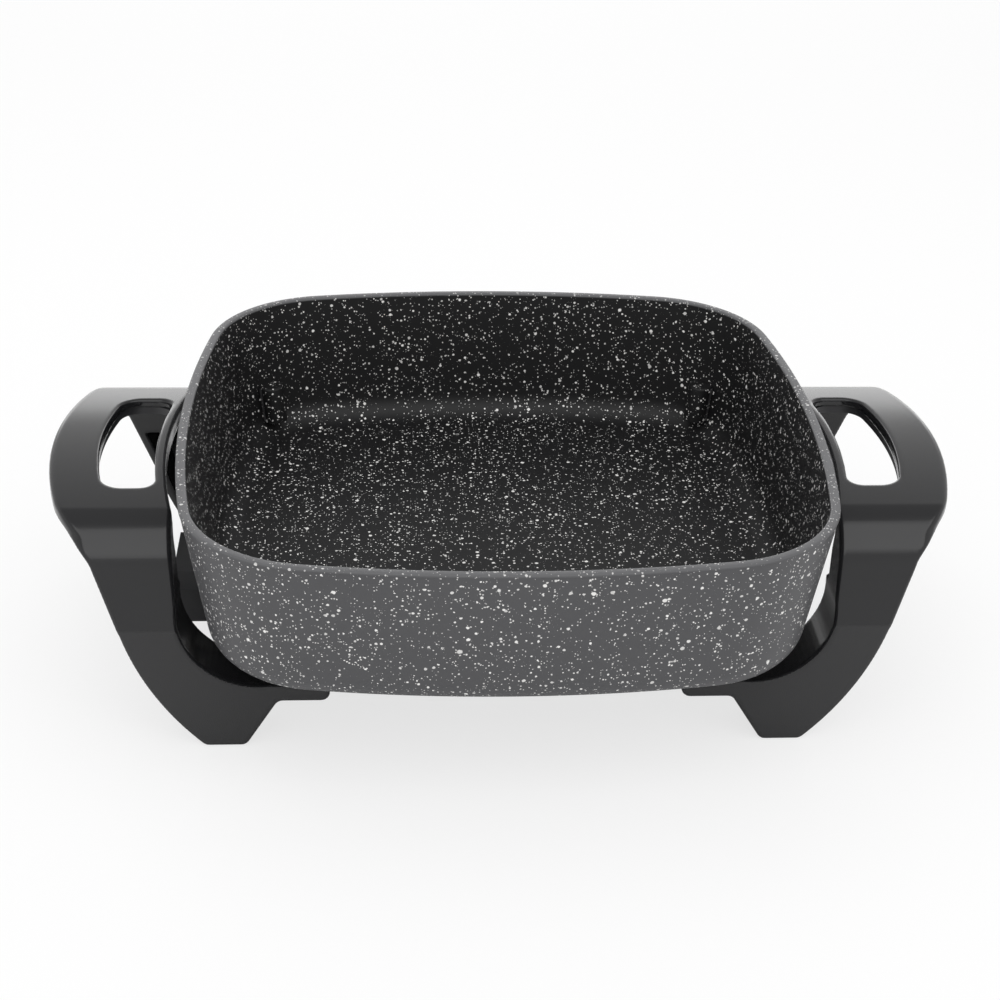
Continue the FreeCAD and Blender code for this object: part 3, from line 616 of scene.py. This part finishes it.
@dataclass
class PanCasting:
    """The cast pan: a bulged square bowl with a rounded foot, ribs, posts and an element ridge."""

    skin: Skin = field(default_factory=lambda: Skin("pan_casting"))
    rim_height: float = 124.0
    rim_half: float = 150.0
    side_radius: float = 600.0
    corner_radius: float = 62.0
    depth: float = 73.0
    inset: float = 12.0
    wall: float = 4.5
    floor: float = 6.0
    bottom_round: float = 16.0
    inner_round: float = 14.0
    rim_round: float = 1.2
    sunk: float = 1.6
    post_radius: float = 9.0
    post_drop: float = 14.0
    post_edge: float = 0.8
    post_x: float = 92.5
    post_y: float = 79.5
    rib_radius: float = 6.5
    rib_drop: float = 40.0
    rib_foot: float = 14.0
    ridge_width: float = 15.0
    ridge_depth: float = 5.0
    ridge_round: float = 1.6
    loop_half_x: float = 66.0
    loop_half_y: float = 84.0
    loop_corner: float = 34.0
    lead_gap: float = 27.0
    boss_half: float = 9.0
    boss_low: float = 29.0
    boss_ends: tuple = (-105.0, -104.9, -74.1, -74.0)
    boss_round: float = 2.0
    flat_rings: tuple = (1.0, 0.75, 0.5, 0.25, 0.1)

    def underside(self) -> float:
        """Height of the flat underside."""
        return self.rim_height - self.depth

    def corner_centre(self) -> float:
        """Distance of the corner arcs' centres from both middle planes.

        A corner arc touches both side arcs, so its centre is the difference of the radii from theirs.

        Returns:
            The distance in millimetres.
        """
        side_centre = self.rim_half - self.side_radius
        apart = self.side_radius - self.corner_radius
        return (side_centre + math.sqrt(2 * apart ** 2 - side_centre ** 2)) / 2

    def outline(self) -> tuple:
        """The plan outline as arcs: each point is its arc's centre plus radius times direction.

        Moving the outline inwards only makes each radius smaller, so it stays parallel to itself.

        Returns:
            Arrays of centres, radii and directions, one row per point.
        """
        side_centre = self.rim_half - self.side_radius
        centre = self.corner_centre()
        split = math.atan2(centre, centre - side_centre)
        side = np.linspace(-split, split, 25)[:-1]
        corner = np.linspace(split, QUARTER - split, 17)[:-1]
        angles = np.concatenate([side, corner])
        on_side = np.arange(len(angles)) < len(side)
        centres = np.where(on_side[:, None], [side_centre, 0.0], [centre, centre])
        radii = np.where(on_side, self.side_radius, self.corner_radius)
        parts = []
        for turn in QUARTER * np.arange(4):
            spin = np.array([[math.cos(turn), -math.sin(turn)], [math.sin(turn), math.cos(turn)]])
            directions = np.stack([np.cos(angles + turn), np.sin(angles + turn)], axis=1)
            parts.append((centres @ spin.T, radii, directions))
        return tuple(np.concatenate(kind) for kind in zip(*parts))

    def draft(self, height: Array) -> Array:
        """How far the outer wall has drawn in at a height."""
        return self.inset * (self.rim_height - height) / self.depth

    def foot_curve(self, offset: float, low: float, radius: float, count: int) -> Array:
        """The round between a drafted wall and a flat below it.

        Args:
            offset: How far the wall lies inside the outer one.
            low: Height of the flat.
            radius: Radius of the round.
            count: Number of points.

        Returns:
            Rows of inset and height, from the wall down to the flat.
        """
        lean = math.atan(self.inset / self.depth)
        centre_z = low + radius
        centre_inset = offset + self.draft(centre_z) + radius / math.cos(lean)
        angles = np.linspace(-lean, -QUARTER, count)
        inset = centre_inset - radius * np.cos(angles)
        return np.stack([inset, centre_z + radius * np.sin(angles)], axis=1)

    def profile(self) -> Array:
        """The wall's section, from the middle of the underside round the rim to the middle of the floor.

        Returns:
            Rows of inset, height and shrink, where a shrink of 1 is the pan's middle axis.
        """
        low, top, edge = self.underside(), self.rim_height, self.rim_round
        floor = low + self.floor
        outer = self.foot_curve(0.0, low, self.bottom_round, 13)[::-1]
        inner = self.foot_curve(self.wall, floor, self.inner_round, 11)
        turn = np.linspace(0, QUARTER, 6)
        rise = np.linspace(outer[-1][1], top - edge, 10)[1:]
        fall = np.linspace(top - edge, inner[0][1], 10)[1:-1]
        lip = np.stack([edge * (1 - np.cos(turn)), top - edge + edge * np.sin(turn)], axis=1)
        rows = np.concatenate([outer, np.stack([self.draft(rise), rise], axis=1), lip,
                               [self.wall, 0] + lip[::-1] * [-1, 1],
                               np.stack([self.wall + self.draft(fall), fall], axis=1), inner])
        rows = np.concatenate([rows, np.zeros((len(rows), 1))], axis=1)
        shrink = np.array(self.flat_rings)
        under = np.stack(np.broadcast_arrays(outer[0][0], low, shrink), axis=1)
        inside = np.stack(np.broadcast_arrays(inner[-1][0], floor, shrink[::-1]), axis=1)
        return np.concatenate([under, rows, inside])

    def bowl(self) -> None:
        """The bowl's closed surface: the outline carried along the wall's section."""
        centres, radii, directions = self.outline()
        inset, height, shrink = self.profile().T
        flat = centres[None] + (radii[None, :, None] - inset[:, None, None]) * directions[None]
        flat = flat * (1 - shrink)[:, None, None]
        self.skin.add_grid(flat[..., 0], flat[..., 1], height[:, None])

    def turned(self, x: float, y: float, section: list, count: int = 32, lean: float = 0.0) -> None:
        """Add a round piece from its section, given as radius and height.

        Args:
            x: Middle of its top along X.
            y: Middle of its top along Y.
            section: Radius and height of each ring, from the bottom up.
            count: Points round each ring.
            lean: How far the middle moves towards the pan's middle for each step down.
        """
        angles = np.linspace(0, 2 * math.pi, count, endpoint=False)
        rows = np.asarray(section, float)
        shift = lean * (rows[-1:, 1:] - rows[:, 1:])
        self.skin.add_grid(x - math.copysign(1, x) * shift + rows[:, :1] * np.cos(angles),
                           y - math.copysign(1, y) * shift + rows[:, :1] * np.sin(angles), rows[:, 1:])

    def posts_and_ribs(self) -> None:
        """The four leg posts under the pan and the four upright ribs in its corners."""
        low = self.underside()
        top = self.rim_height - self.rib_drop
        foot = low - self.post_drop
        inner = self.corner_radius - self.wall - self.draft(top)
        rib = self.corner_centre() + inner * math.sqrt(0.5) - self.rib_radius / 3
        lean = self.inset / self.depth * math.sqrt(0.5)
        turn = np.linspace(0, QUARTER, 6)
        crown = np.stack([self.rib_radius - self.rim_round * (1 - np.cos(turn)),
                          top - self.rim_round * (1 - np.sin(turn))], axis=1)
        post_section = [(0, foot), (self.post_radius - self.post_edge, foot),
                        (self.post_radius, foot + self.post_edge),
                        (self.post_radius, low + self.sunk), (0, low + self.sunk)]
        rib_section = [(0, low + self.rib_foot), (self.rib_radius, low + self.rib_foot),
                       *crown.tolist(), (0, top)]
        for side in Side:
            for end in End:
                self.turned(side.value * self.post_x, end.value * self.post_y, post_section)
                self.turned(side.value * rib, end.value * rib, rib_section, lean=lean)

    def bar_section(self, half: float, low: float, corner: float, count: int) -> Array:
        """Section of a bar on the underside, its lower edges rounded by quarter arcs.

        Args:
            half: Half its width.
            low: Height of its lower face.
            corner: Radius of its lower edges.
            count: Points on each arc.

        Returns:
            Rows of place across and height, from the top of one side round to the other.
        """
        turn = np.linspace(0, QUARTER, count)
        high = self.underside() + self.sunk
        side = np.stack([half - corner * (1 - np.cos(turn)), low + corner * (1 - np.sin(turn))], axis=1)
        return np.concatenate([[[half, high]], side, side[::-1] * [-1, 1], [[-half, high]]])

    def element_ridge(self) -> None:
        """The cast ridge: a rounded section carried round the element's loop, left open at the leads."""
        loop = loop_path(self.loop_half_x, self.loop_half_y, self.loop_corner, self.lead_gap)
        along = np.gradient(loop, axis=0)
        along /= np.linalg.norm(along, axis=1, keepdims=True)
        across = np.stack([along[:, 1], -along[:, 0]], axis=1)
        low = self.underside() - self.ridge_depth
        section = self.bar_section(self.ridge_width / 2, low, self.ridge_round, 4)
        flat = loop[:, None] + section[None, :, :1] * across[:, None]
        self.skin.add_grid(flat[..., 0], flat[..., 1], section[:, 1], capped=True)

    def sensor_boss(self) -> None:
        """The cast block that holds the sensor sleeve, with rounded long edges."""
        section = self.bar_section(self.boss_half, self.boss_low, self.boss_round, 5)
        self.skin.add_grid(np.array(self.boss_ends)[:, None], *section.T, capped=True)

    def build(self) -> Object:
        """Make the pan in place of its CAD node.

        Returns:
            The pan's object.
        """
        self.bowl()
        self.posts_and_ribs()
        self.element_ridge()
        self.sensor_boss()
        pan = self.skin.build(sharp=40.0)
        place_piece(pan, STONE, "pan")
        return pan


def loop_path(half_x: float, half_y: float, corner: float, gap: float) -> Array:
    """The element's loop in plan: a rounded oblong that is open on its left side.

    Args:
        half_x: Half the width along X.
        half_y: Half the depth along Y.
        corner: Radius of the corners.
        gap: Half the opening on the left side.

    Returns:
        Points from the front end of the opening round to its rear end.
    """
    near = corner * (1 - math.sqrt(0.5))
    side, front = corner - half_y, half_x - corner
    left = arc_through((-half_x, side), (near - half_x, near - half_y), (-front, -half_y), 13)
    right = arc_through((front, -half_y), (half_x - near, near - half_y), (half_x, side), 13)
    half = chain(straight((-half_x, -gap), (-half_x, side), 8), left,
                 straight((-front, -half_y), (front, -half_y), 8), right,
                 straight((half_x, side), (half_x, 0), 8))
    return chain(half, half[::-1] * [1, -1])


# The handles

def signed_distance(outline: Array, first: Array, second: Array) -> Array:
    """Distance from each point of a flat grid to a closed outline, negative inside.

    The distance to one edge is that to the nearest point of the edge. A point is inside when a line
    from it towards the second axis crosses the outline an odd number of times.

    Args:
        outline: Corner points of the outline, one row each, without the first repeated.
        first: Grid coordinates along the first axis.
        second: Grid coordinates along the second axis.

    Returns:
        The distances, with one row for each first coordinate.
    """
    ahead = np.roll(outline, -1, axis=0)
    edge = ahead - outline
    u = first[:, None, None] - outline[:, 0]
    v = second[None, :, None] - outline[:, 1]
    share = np.clip((u * edge[:, 0] + v * edge[:, 1]) / np.maximum((edge ** 2).sum(axis=1), 1e-12), 0, 1)
    gap = np.sqrt(np.min((u - share * edge[:, 0]) ** 2 + (v - share * edge[:, 1]) ** 2, axis=2))
    spans = (u < 0) != (u - edge[:, 0] < 0)
    crossing = v * edge[:, 0] < u * edge[:, 1]
    above = spans & (crossing != (edge[:, 0] < 0))
    return np.where(np.count_nonzero(above, axis=2) % 2 == 1, -gap, gap)


def rounded_both(first: Array, second: Array, radius: float) -> Array:
    """The field of what two shapes share, with the edge where they meet rounded to a radius.

    Near the edge it is the length of how far both fields rise above minus the radius, less the radius.
    """
    near = np.hypot(np.maximum(first + radius, 0), np.maximum(second + radius, 0))
    return np.minimum(np.maximum(first, second), -radius) + near


def corner_arcs(corners: list, count: int = 7) -> Array:
    """An outline with rounded corners.

    Each corner with a radius becomes an arc that touches both its sides; its centre lies on the
    corner's bisector at the radius over the sine of half the angle.

    Args:
        corners: Places as two coordinates and a radius, 0 for a corner kept sharp.
        count: Points on each arc.

    Returns:
        The outline's points.
    """
    places = np.array([corner[:2] for corner in corners], float)
    before = np.roll(places, 1, axis=0) - places
    after = np.roll(places, -1, axis=0) - places
    stretches = []
    for place, back, on, corner in zip(places, before, after, corners):
        radius = corner[2]
        if radius == 0:
            stretches.append(place[None])
            continue
        back, on = back / np.linalg.norm(back), on / np.linalg.norm(on)
        half = math.acos(np.clip(back @ on, -1, 1)) / 2
        reach = radius / math.tan(half)
        bisector = (back + on) / np.linalg.norm(back + on)
        middle = place + bisector * radius / math.sin(half) - bisector * radius
        stretches.append(arc_through(place + back * reach, middle, place + on * reach, count))
    return np.concatenate(stretches)


@dataclass
class FieldSurface:
    """The surface where a field of numbers on a three-way grid passes through zero."""

    low: Array
    step: float
    values: Array

    def quads(self) -> tuple:
        """One face round every grid edge that the surface crosses.

        Each grid cell that the surface passes through gets one point, the mean of the crossings on
        its edges, where a crossing divides its edge in the ratio of the field at its ends.

        Returns:
            Points in grid units and faces as rows of four point numbers.
        """
        shape = np.array(self.values.shape)
        cells, crossings = [], []
        for axis in range(3):
            ends = [np.moveaxis(self.values, axis, 0)[:-1], np.moveaxis(self.values, axis, 0)[1:]]
            ends = [np.moveaxis(end, 0, axis) for end in ends]
            places = np.argwhere((ends[0] < 0) != (ends[1] < 0))
            start, stop = (end[tuple(places.T)] for end in ends)
            crossing = places.astype(float)
            crossing[:, axis] += start / (start - stop)
            shifts = np.zeros((4, 3), int)
            shifts[[1, 2], (axis + 1) % 3] = 1
            shifts[[2, 3], (axis + 2) % 3] = 1
            around = places[:, None] - shifts[None]
            around = np.where((start < 0)[:, None, None], around, around[:, ::-1])
            cells.append(np.ravel_multi_index(tuple(np.moveaxis(around, 2, 0)), shape))
            crossings.append(crossing)
        cells = np.concatenate(cells)
        crossings = np.repeat(np.concatenate(crossings), 4, axis=0)
        used, faces = np.unique(cells.ravel(), return_inverse=True)
        count = np.bincount(faces, minlength=len(used))
        totals = [np.bincount(faces, weights=places) for places in crossings.T]
        return np.stack(totals, axis=1) / count[:, None], faces.reshape(-1, 4)

    def sample(self, values: Array, points: Array) -> Array:
        """Values at points between the grid's nodes, mixed from the eight nodes round each.

        Args:
            values: A value for each node.
            points: Places in grid units, one row each.

        Returns:
            The value at each point.
        """
        base = np.clip(np.floor(points).astype(int), 0, np.array(values.shape) - 2)
        share = points - base
        total = np.zeros(len(points))
        for corner in np.ndindex(2, 2, 2):
            weight = np.prod(np.where(corner, share, 1 - share), axis=1)
            total += weight * values[tuple((base + corner).T)]
        return total

    def surface(self) -> tuple:
        """Points drawn onto the surface along the field's slope, with that slope as their normals.

        Returns:
            Points in millimetres, faces and unit normals.
        """
        points, faces = self.quads()
        slopes = np.gradient(self.values)
        for _ in range(3):
            slope = np.stack([self.sample(part, points) for part in slopes], axis=1)
            away = self.sample(self.values, points) / np.maximum((slope ** 2).sum(axis=1), 1e-6)
            points = points - np.clip(away, -0.6, 0.6)[:, None] * slope
        slope = np.stack([self.sample(part, points) for part in slopes], axis=1)
        normals = slope / np.maximum(np.linalg.norm(slope, axis=1, keepdims=True), 1e-9)
        return self.low + points * self.step, faces, normals


@dataclass
class HandleMoulding:
    """One arch handle: a crown with a finger slot on two hollow legs, each with a foot and a tongue.

    Fields of three places are arcs, given by their start, a place between and their end.
    """

    side: Side
    grip_reach: float = 210.0
    grip_radius: float = 195.0
    inner_reach: float = 156.5
    inner_radius: float = 275.3
    inner_start: float = 74.0
    inner_relief: float = 6.0
    calf: tuple = ((137.2, 0), (158.0, 25.96), (172.2, 59))
    arm: tuple = ((184.0, 89), (193.9, 98.3), (212, 101))
    belly: tuple = ((147, 72), (137.5, 44), (106, 33))
    foot: tuple = (118.5, 0, 4)
    heel_round: float = 4.0
    outer_top: tuple = ((212, 115), (150, 115))
    tongue: tuple = ((80, 33, 1.5), (80, 24, 4), (103.5, 24, 4))
    crown: float = 111.0
    shoulder: tuple = (62.0, 107.4)
    bulge: tuple = (76.0, 99.2)
    neck: tuple = (84.5, 87.0)
    front: float = 93.0
    knee: float = 62.0
    below: float = -4.0
    under: tuple = ((66.0, 92.0), (63.7, 98.7), (58.0, 101.0))
    under_round: float = 1.2
    slot_half: float = 45.0
    slot_outer: float = 172.6
    slot_inner: float = 280.3
    slot_corner: float = 8.0
    slot_edge: float = 1.4
    wall: float = 3.5
    hollow_calf: tuple = ((132.5, 3.5), (152.95, 25.96), (167, 59))
    hollow_belly: tuple = ((150.5, 72), (141, 40.5), (120, 29.5))
    hollow_top: tuple = ((175.5, 80.0), (150.5, 80.0))
    hollow_foot: tuple = (120.25, 3.5)
    hollow_heel: tuple = (114, 24)
    hollow_round: float = 1.5
    hollow_edge: float = 0.9
    recess_top: float = 105.0
    recess_half: float = 55.0
    recess_border: float = 3.0
    post_x: float = 92.5
    post_y: float = 79.5
    seat_radius: float = 7.8
    seat_top: float = 28.4
    seat_edge: float = 0.5
    end_reach: float = 100.0
    end_round: float = 46.0
    end_relief: float = 0.6
    edge: float = 2.0
    step: float = 0.9
    grid_low: tuple = (78.0, -95.4, -2.2)
    grid_size: tuple = (134.5, 190.8, 115.5)

    def front_outline(self) -> Array:
        """The handle seen from the front.

        Returns:
            Rows of X and Z.
        """
        calf, arm = arc_through(*self.calf, 17), arc_through(*self.arm, 17)
        belly = arc_through(*self.belly, 21)
        plain = [(*place, 0) for place in np.concatenate([calf[1:], arm, self.outer_top, belly])]
        return corner_arcs([self.foot, (*calf[0], self.heel_round), *plain, *self.tongue])

    def arch_outline(self) -> Array:
        """The handle seen from the side: upright legs that lean in to a low crown.

        Returns:
            Rows of Y and Z.
        """
        shoulder = arc_through(self.neck, self.bulge, self.shoulder, 15)
        crown = arc_through(self.shoulder, (0, self.crown), (-self.shoulder[0], self.shoulder[1]), 41)
        right = np.concatenate([[(self.front, self.below), (self.front, self.knee)], shoulder])
        return np.concatenate([right, crown[1:-1], right[::-1] * [-1, 1]])

    def under_outline(self) -> Array:
        """The open space between the legs.

        Returns:
            Rows of Y and Z.
        """
        right = np.concatenate([[(self.under[0][0], self.below)], arc_through(*self.under, 9)])
        return np.concatenate([right, right[::-1] * [-1, 1]])

    def hollow_outline(self) -> Array:
        """The hollow inside a leg.

        Returns:
            Rows of X and Z.
        """
        return np.concatenate([[self.hollow_foot], arc_through(*self.hollow_calf, 13), self.hollow_top,
                               arc_through(*self.hollow_belly, 15), [self.hollow_heel]])

    def field(self, x: Array, y: Array, z: Array) -> Array:
        """The handle's field: negative inside, built from what its outlines share.

        The grip's two long sides are upright cylinders. The inner one fades below inner_start, where
        the tongues reach under the pan, and the rounded ends of the grip fade into the legs.

        Args:
            x: Places of the grid along X.
            y: Places of the grid along Y.
            z: Places of the grid along Z.

        Returns:
            The field at every node of the grid.
        """
        front = signed_distance(self.front_outline(), x, z)[:, None, :]
        arch = signed_distance(self.arch_outline(), y, z)[None]
        under = signed_distance(self.under_outline(), y, z)[None]
        hollow = signed_distance(self.hollow_outline(), x, z)[:, None, :]
        level = np.broadcast_to(z[None, None, :], (len(x), len(y), len(z)))
        aside = np.abs(y)[None]
        reach = np.hypot(x - (self.grip_reach - self.grip_radius), y[:, None]).T
        outer = reach - self.grip_radius
        inner_reach = np.hypot(x - (self.inner_reach - self.inner_radius), y[:, None]).T
        inner = self.inner_radius - inner_reach[:, :, None]
        inner = inner - self.inner_relief * np.maximum(self.inner_start - level, 0)
        ends = rounded_both(outer, aside - self.end_reach, self.end_round)[:, :, None]
        ends = ends - self.end_relief * np.maximum(self.end_reach - level, 0)
        body = rounded_both(np.maximum(front, inner), arch, self.edge)
        body = rounded_both(body, ends, self.edge)
        body = rounded_both(body, -under, self.under_round)
        core = rounded_both(hollow, arch + self.wall, self.hollow_round)
        body = rounded_both(body, -core, self.hollow_edge)
        slot = rounded_both(aside - self.slot_half, reach - self.slot_outer, self.slot_corner)
        slot = rounded_both(slot, self.slot_inner - inner_reach, self.slot_corner)
        body = rounded_both(body, -slot[:, :, None], self.slot_edge)
        border = np.maximum(aside - self.recess_half, outer + self.recess_border)
        border = np.maximum(border, self.inner_radius + self.recess_border / 2 - inner_reach)
        body = np.maximum(body, -np.maximum(border[:, :, None], level - self.recess_top))
        seat = np.hypot(x[:, None] - self.post_x, aside - self.post_y) - self.seat_radius
        return rounded_both(body, -np.maximum(seat[:, :, None], level - self.seat_top), self.seat_edge)

    def build(self) -> Object:
        """Make the moulding in place of its CAD node.

        Returns:
            The handle's object.
        """
        low = np.array(self.grid_low)
        counts = np.ceil(np.array(self.grid_size) / self.step).astype(int)
        grid = [start + self.step * np.arange(count) for start, count in zip(low, counts)]
        points, faces, normals = FieldSurface(low, self.step, self.field(*grid)).surface()
        mirror = np.array([self.side.value, 1, 1])
        faces = faces if self.side is Side.RIGHT else faces[:, ::-1]
        name = f"{self.side.name.lower()}_handle"
        mesh = bpy.data.meshes.new(f"{name}_moulding")
        mesh.from_pydata((points * mirror * MM).tolist(), [], faces.tolist())
        mesh.shade_smooth()
        mesh.normals_split_custom_set_from_vertices((normals * mirror).tolist())
        item = stand(mesh)
        place_piece(item, PHENOLIC, name)
        return item


@dataclass
class CarriedOver:
    """CAD pieces whose own solids stay in view, grouped by their finish."""

    groups: tuple = (
        (SHEATH, "heating_element"), (TUBE, "probe_sleeve"),
        (BRIGHT, "terminal_pin_front", "terminal_pin_rear"),
        (STEATITE, "terminal_insulator_front", "terminal_insulator_rear", "leg_spacer_front_left",
         "leg_spacer_front_right", "leg_spacer_rear_left", "leg_spacer_rear_right"),
        (DULL, "socket_shroud", "right_grip_liner", "left_grip_liner"),
        (ZINC, "shroud_bracket", "earth_clip_front", "earth_clip_rear", "leg_washers", "leg_screws",
         "bracket_screws", "shroud_screws", "liner_screws_right", "liner_screws_left"))

    def dress(self) -> None:
        """Assign each finish to its nodes."""
        for finish, *names in self.groups:
            for name in names:
                node = bpy.data.objects[name]
                node.data.materials.clear()
                node.data.materials.append(finish.material())
                LOG.info("%s: kept from the CAD with %s", name, finish.name)


# The studio

@dataclass(frozen=True)
class Lamp:
    """A soft oblong lamp: its places and size are in metres and its power in watts."""

    name: str
    place: tuple
    target: tuple
    size: tuple
    power: float
    glossy: bool

    def hang(self) -> None:
        """Hang the lamp; only a glossy one shows in reflections."""
        data = bpy.data.lights.new(self.name, "AREA")
        data.shape = "RECTANGLE"
        data.size, data.size_y = self.size
        data.energy = self.power
        item = stand(data)
        item.location = self.place
        aim = Vector(self.target) - Vector(self.place)
        item.rotation_euler = aim.to_track_quat("-Z", "Y").to_euler()
        item.visible_glossy = self.glossy


@dataclass
class Studio:
    """Pale floor, soft lamps and the camera of the photograph."""

    eye: tuple = (-54.3, -802.6, 516.8)
    heading: float = 3.92
    pitch: float = -28.68
    roll: float = 1.62
    lens: float = 68.16
    floor_half: float = 6.0
    floor_colour: tuple = (0.86, 0.86, 0.86, 1)
    floor_glow: float = 0.72
    sky_band: tuple = (0.30, 0.95)
    sky: tuple = (0.88, 0.50)
    lamps: tuple = (
        Lamp("top_lamp", (-0.2, 0.3, 1.7), (0, 0, 0.05), (1.4, 1.4), 8.5, False),
        Lamp("front_lamp", (0.1, -0.9, 1.60), (0, -0.1, 0.1), (2.6, 1.4), 15.0, True),
        Lamp("back_lamp", (0.12, 2.3, 0.5), (0.1, 0, 0.1), (2.6, 0.8), 11.5, True))

    def camera(self) -> None:
        """Stand the camera where the photograph was taken from."""
        data = bpy.data.cameras.new("camera")
        data.lens = self.lens
        data.sensor_width = 36.0
        turns = ((-self.heading, "Z"), (90 + self.pitch, "X"), (self.roll, "Z"))
        heading, pitch, roll = (Matrix.Rotation(math.radians(angle), 4, axis) for angle, axis in turns)
        item = stand(data)
        item.matrix_world = Matrix.Translation(Vector(self.eye) * MM) @ heading @ pitch @ roll
        bpy.context.scene.camera = item

    def floor(self) -> None:
        """A wide pale floor that shows white to the camera but keeps the object's shadow."""
        mesh = bpy.data.meshes.new("floor")
        half = self.floor_half
        mesh.from_pydata([(-half, -half, 0), (half, -half, 0), (half, half, 0), (-half, half, 0)],
                         [], [(0, 1, 2, 3)])
        made = bpy.data.materials.new("pale_floor")
        nodes = Nodes(cleared_tree(made))
        pale = nodes.add("BsdfPrincipled", {"Base Color": self.floor_colour, "Roughness": 0.9,
                                                      "Specular IOR Level": 0.1})
        white = nodes.add("Emission", {"Color": WHITE, "Strength": 1.0})
        camera_ray = nodes.add("LightPath").outputs["Is Camera Ray"]
        seen = nodes.math("MULTIPLY", camera_ray, self.floor_glow)
        both = nodes.add("MixShader", {0: seen, 1: pale.outputs[0], 2: white.outputs[0]})
        nodes.add("OutputMaterial", {"Surface": both.outputs[0]})
        mesh.materials.append(made)
        stand(mesh)

    def world(self) -> None:
        """A pale surround, dimmer overhead, that the camera sees as white."""
        world = bpy.data.worlds.new("surround")
        bpy.context.scene.world = world
        nodes = Nodes(cleared_tree(world))
        camera_ray = nodes.add("LightPath").outputs["Is Camera Ray"]
        direction = nodes.axes(nodes.add("TexCoord").outputs["Generated"])
        strength = nodes.blend(nodes.ramp(direction.outputs[2], *self.sky_band), *self.sky)
        soft = nodes.add("Background", {"Color": WHITE, "Strength": strength})
        white = nodes.add("Background", {"Color": WHITE, "Strength": 1.0})
        both = nodes.add("MixShader", {0: camera_ray, 1: soft.outputs[0], 2: white.outputs[0]})
        nodes.add("OutputWorld", {"Surface": both.outputs[0]})

    def build(self) -> None:
        """Set up the whole studio."""
        self.camera()
        self.floor()
        self.world()
        for lamp in self.lamps:
            lamp.hang()
        bpy.context.scene.view_settings.view_transform = "Standard"


def main() -> None:
    """Build each sub-assembly, dress it and set up the studio."""
    logging.basicConfig(level=logging.INFO, format="%(name)s %(message)s")
    PanCasting().build()
    for side in Side:
        HandleMoulding(side).build()
    CarriedOver().dress()
    Studio().build()


if __name__ == "__main__":
    main()
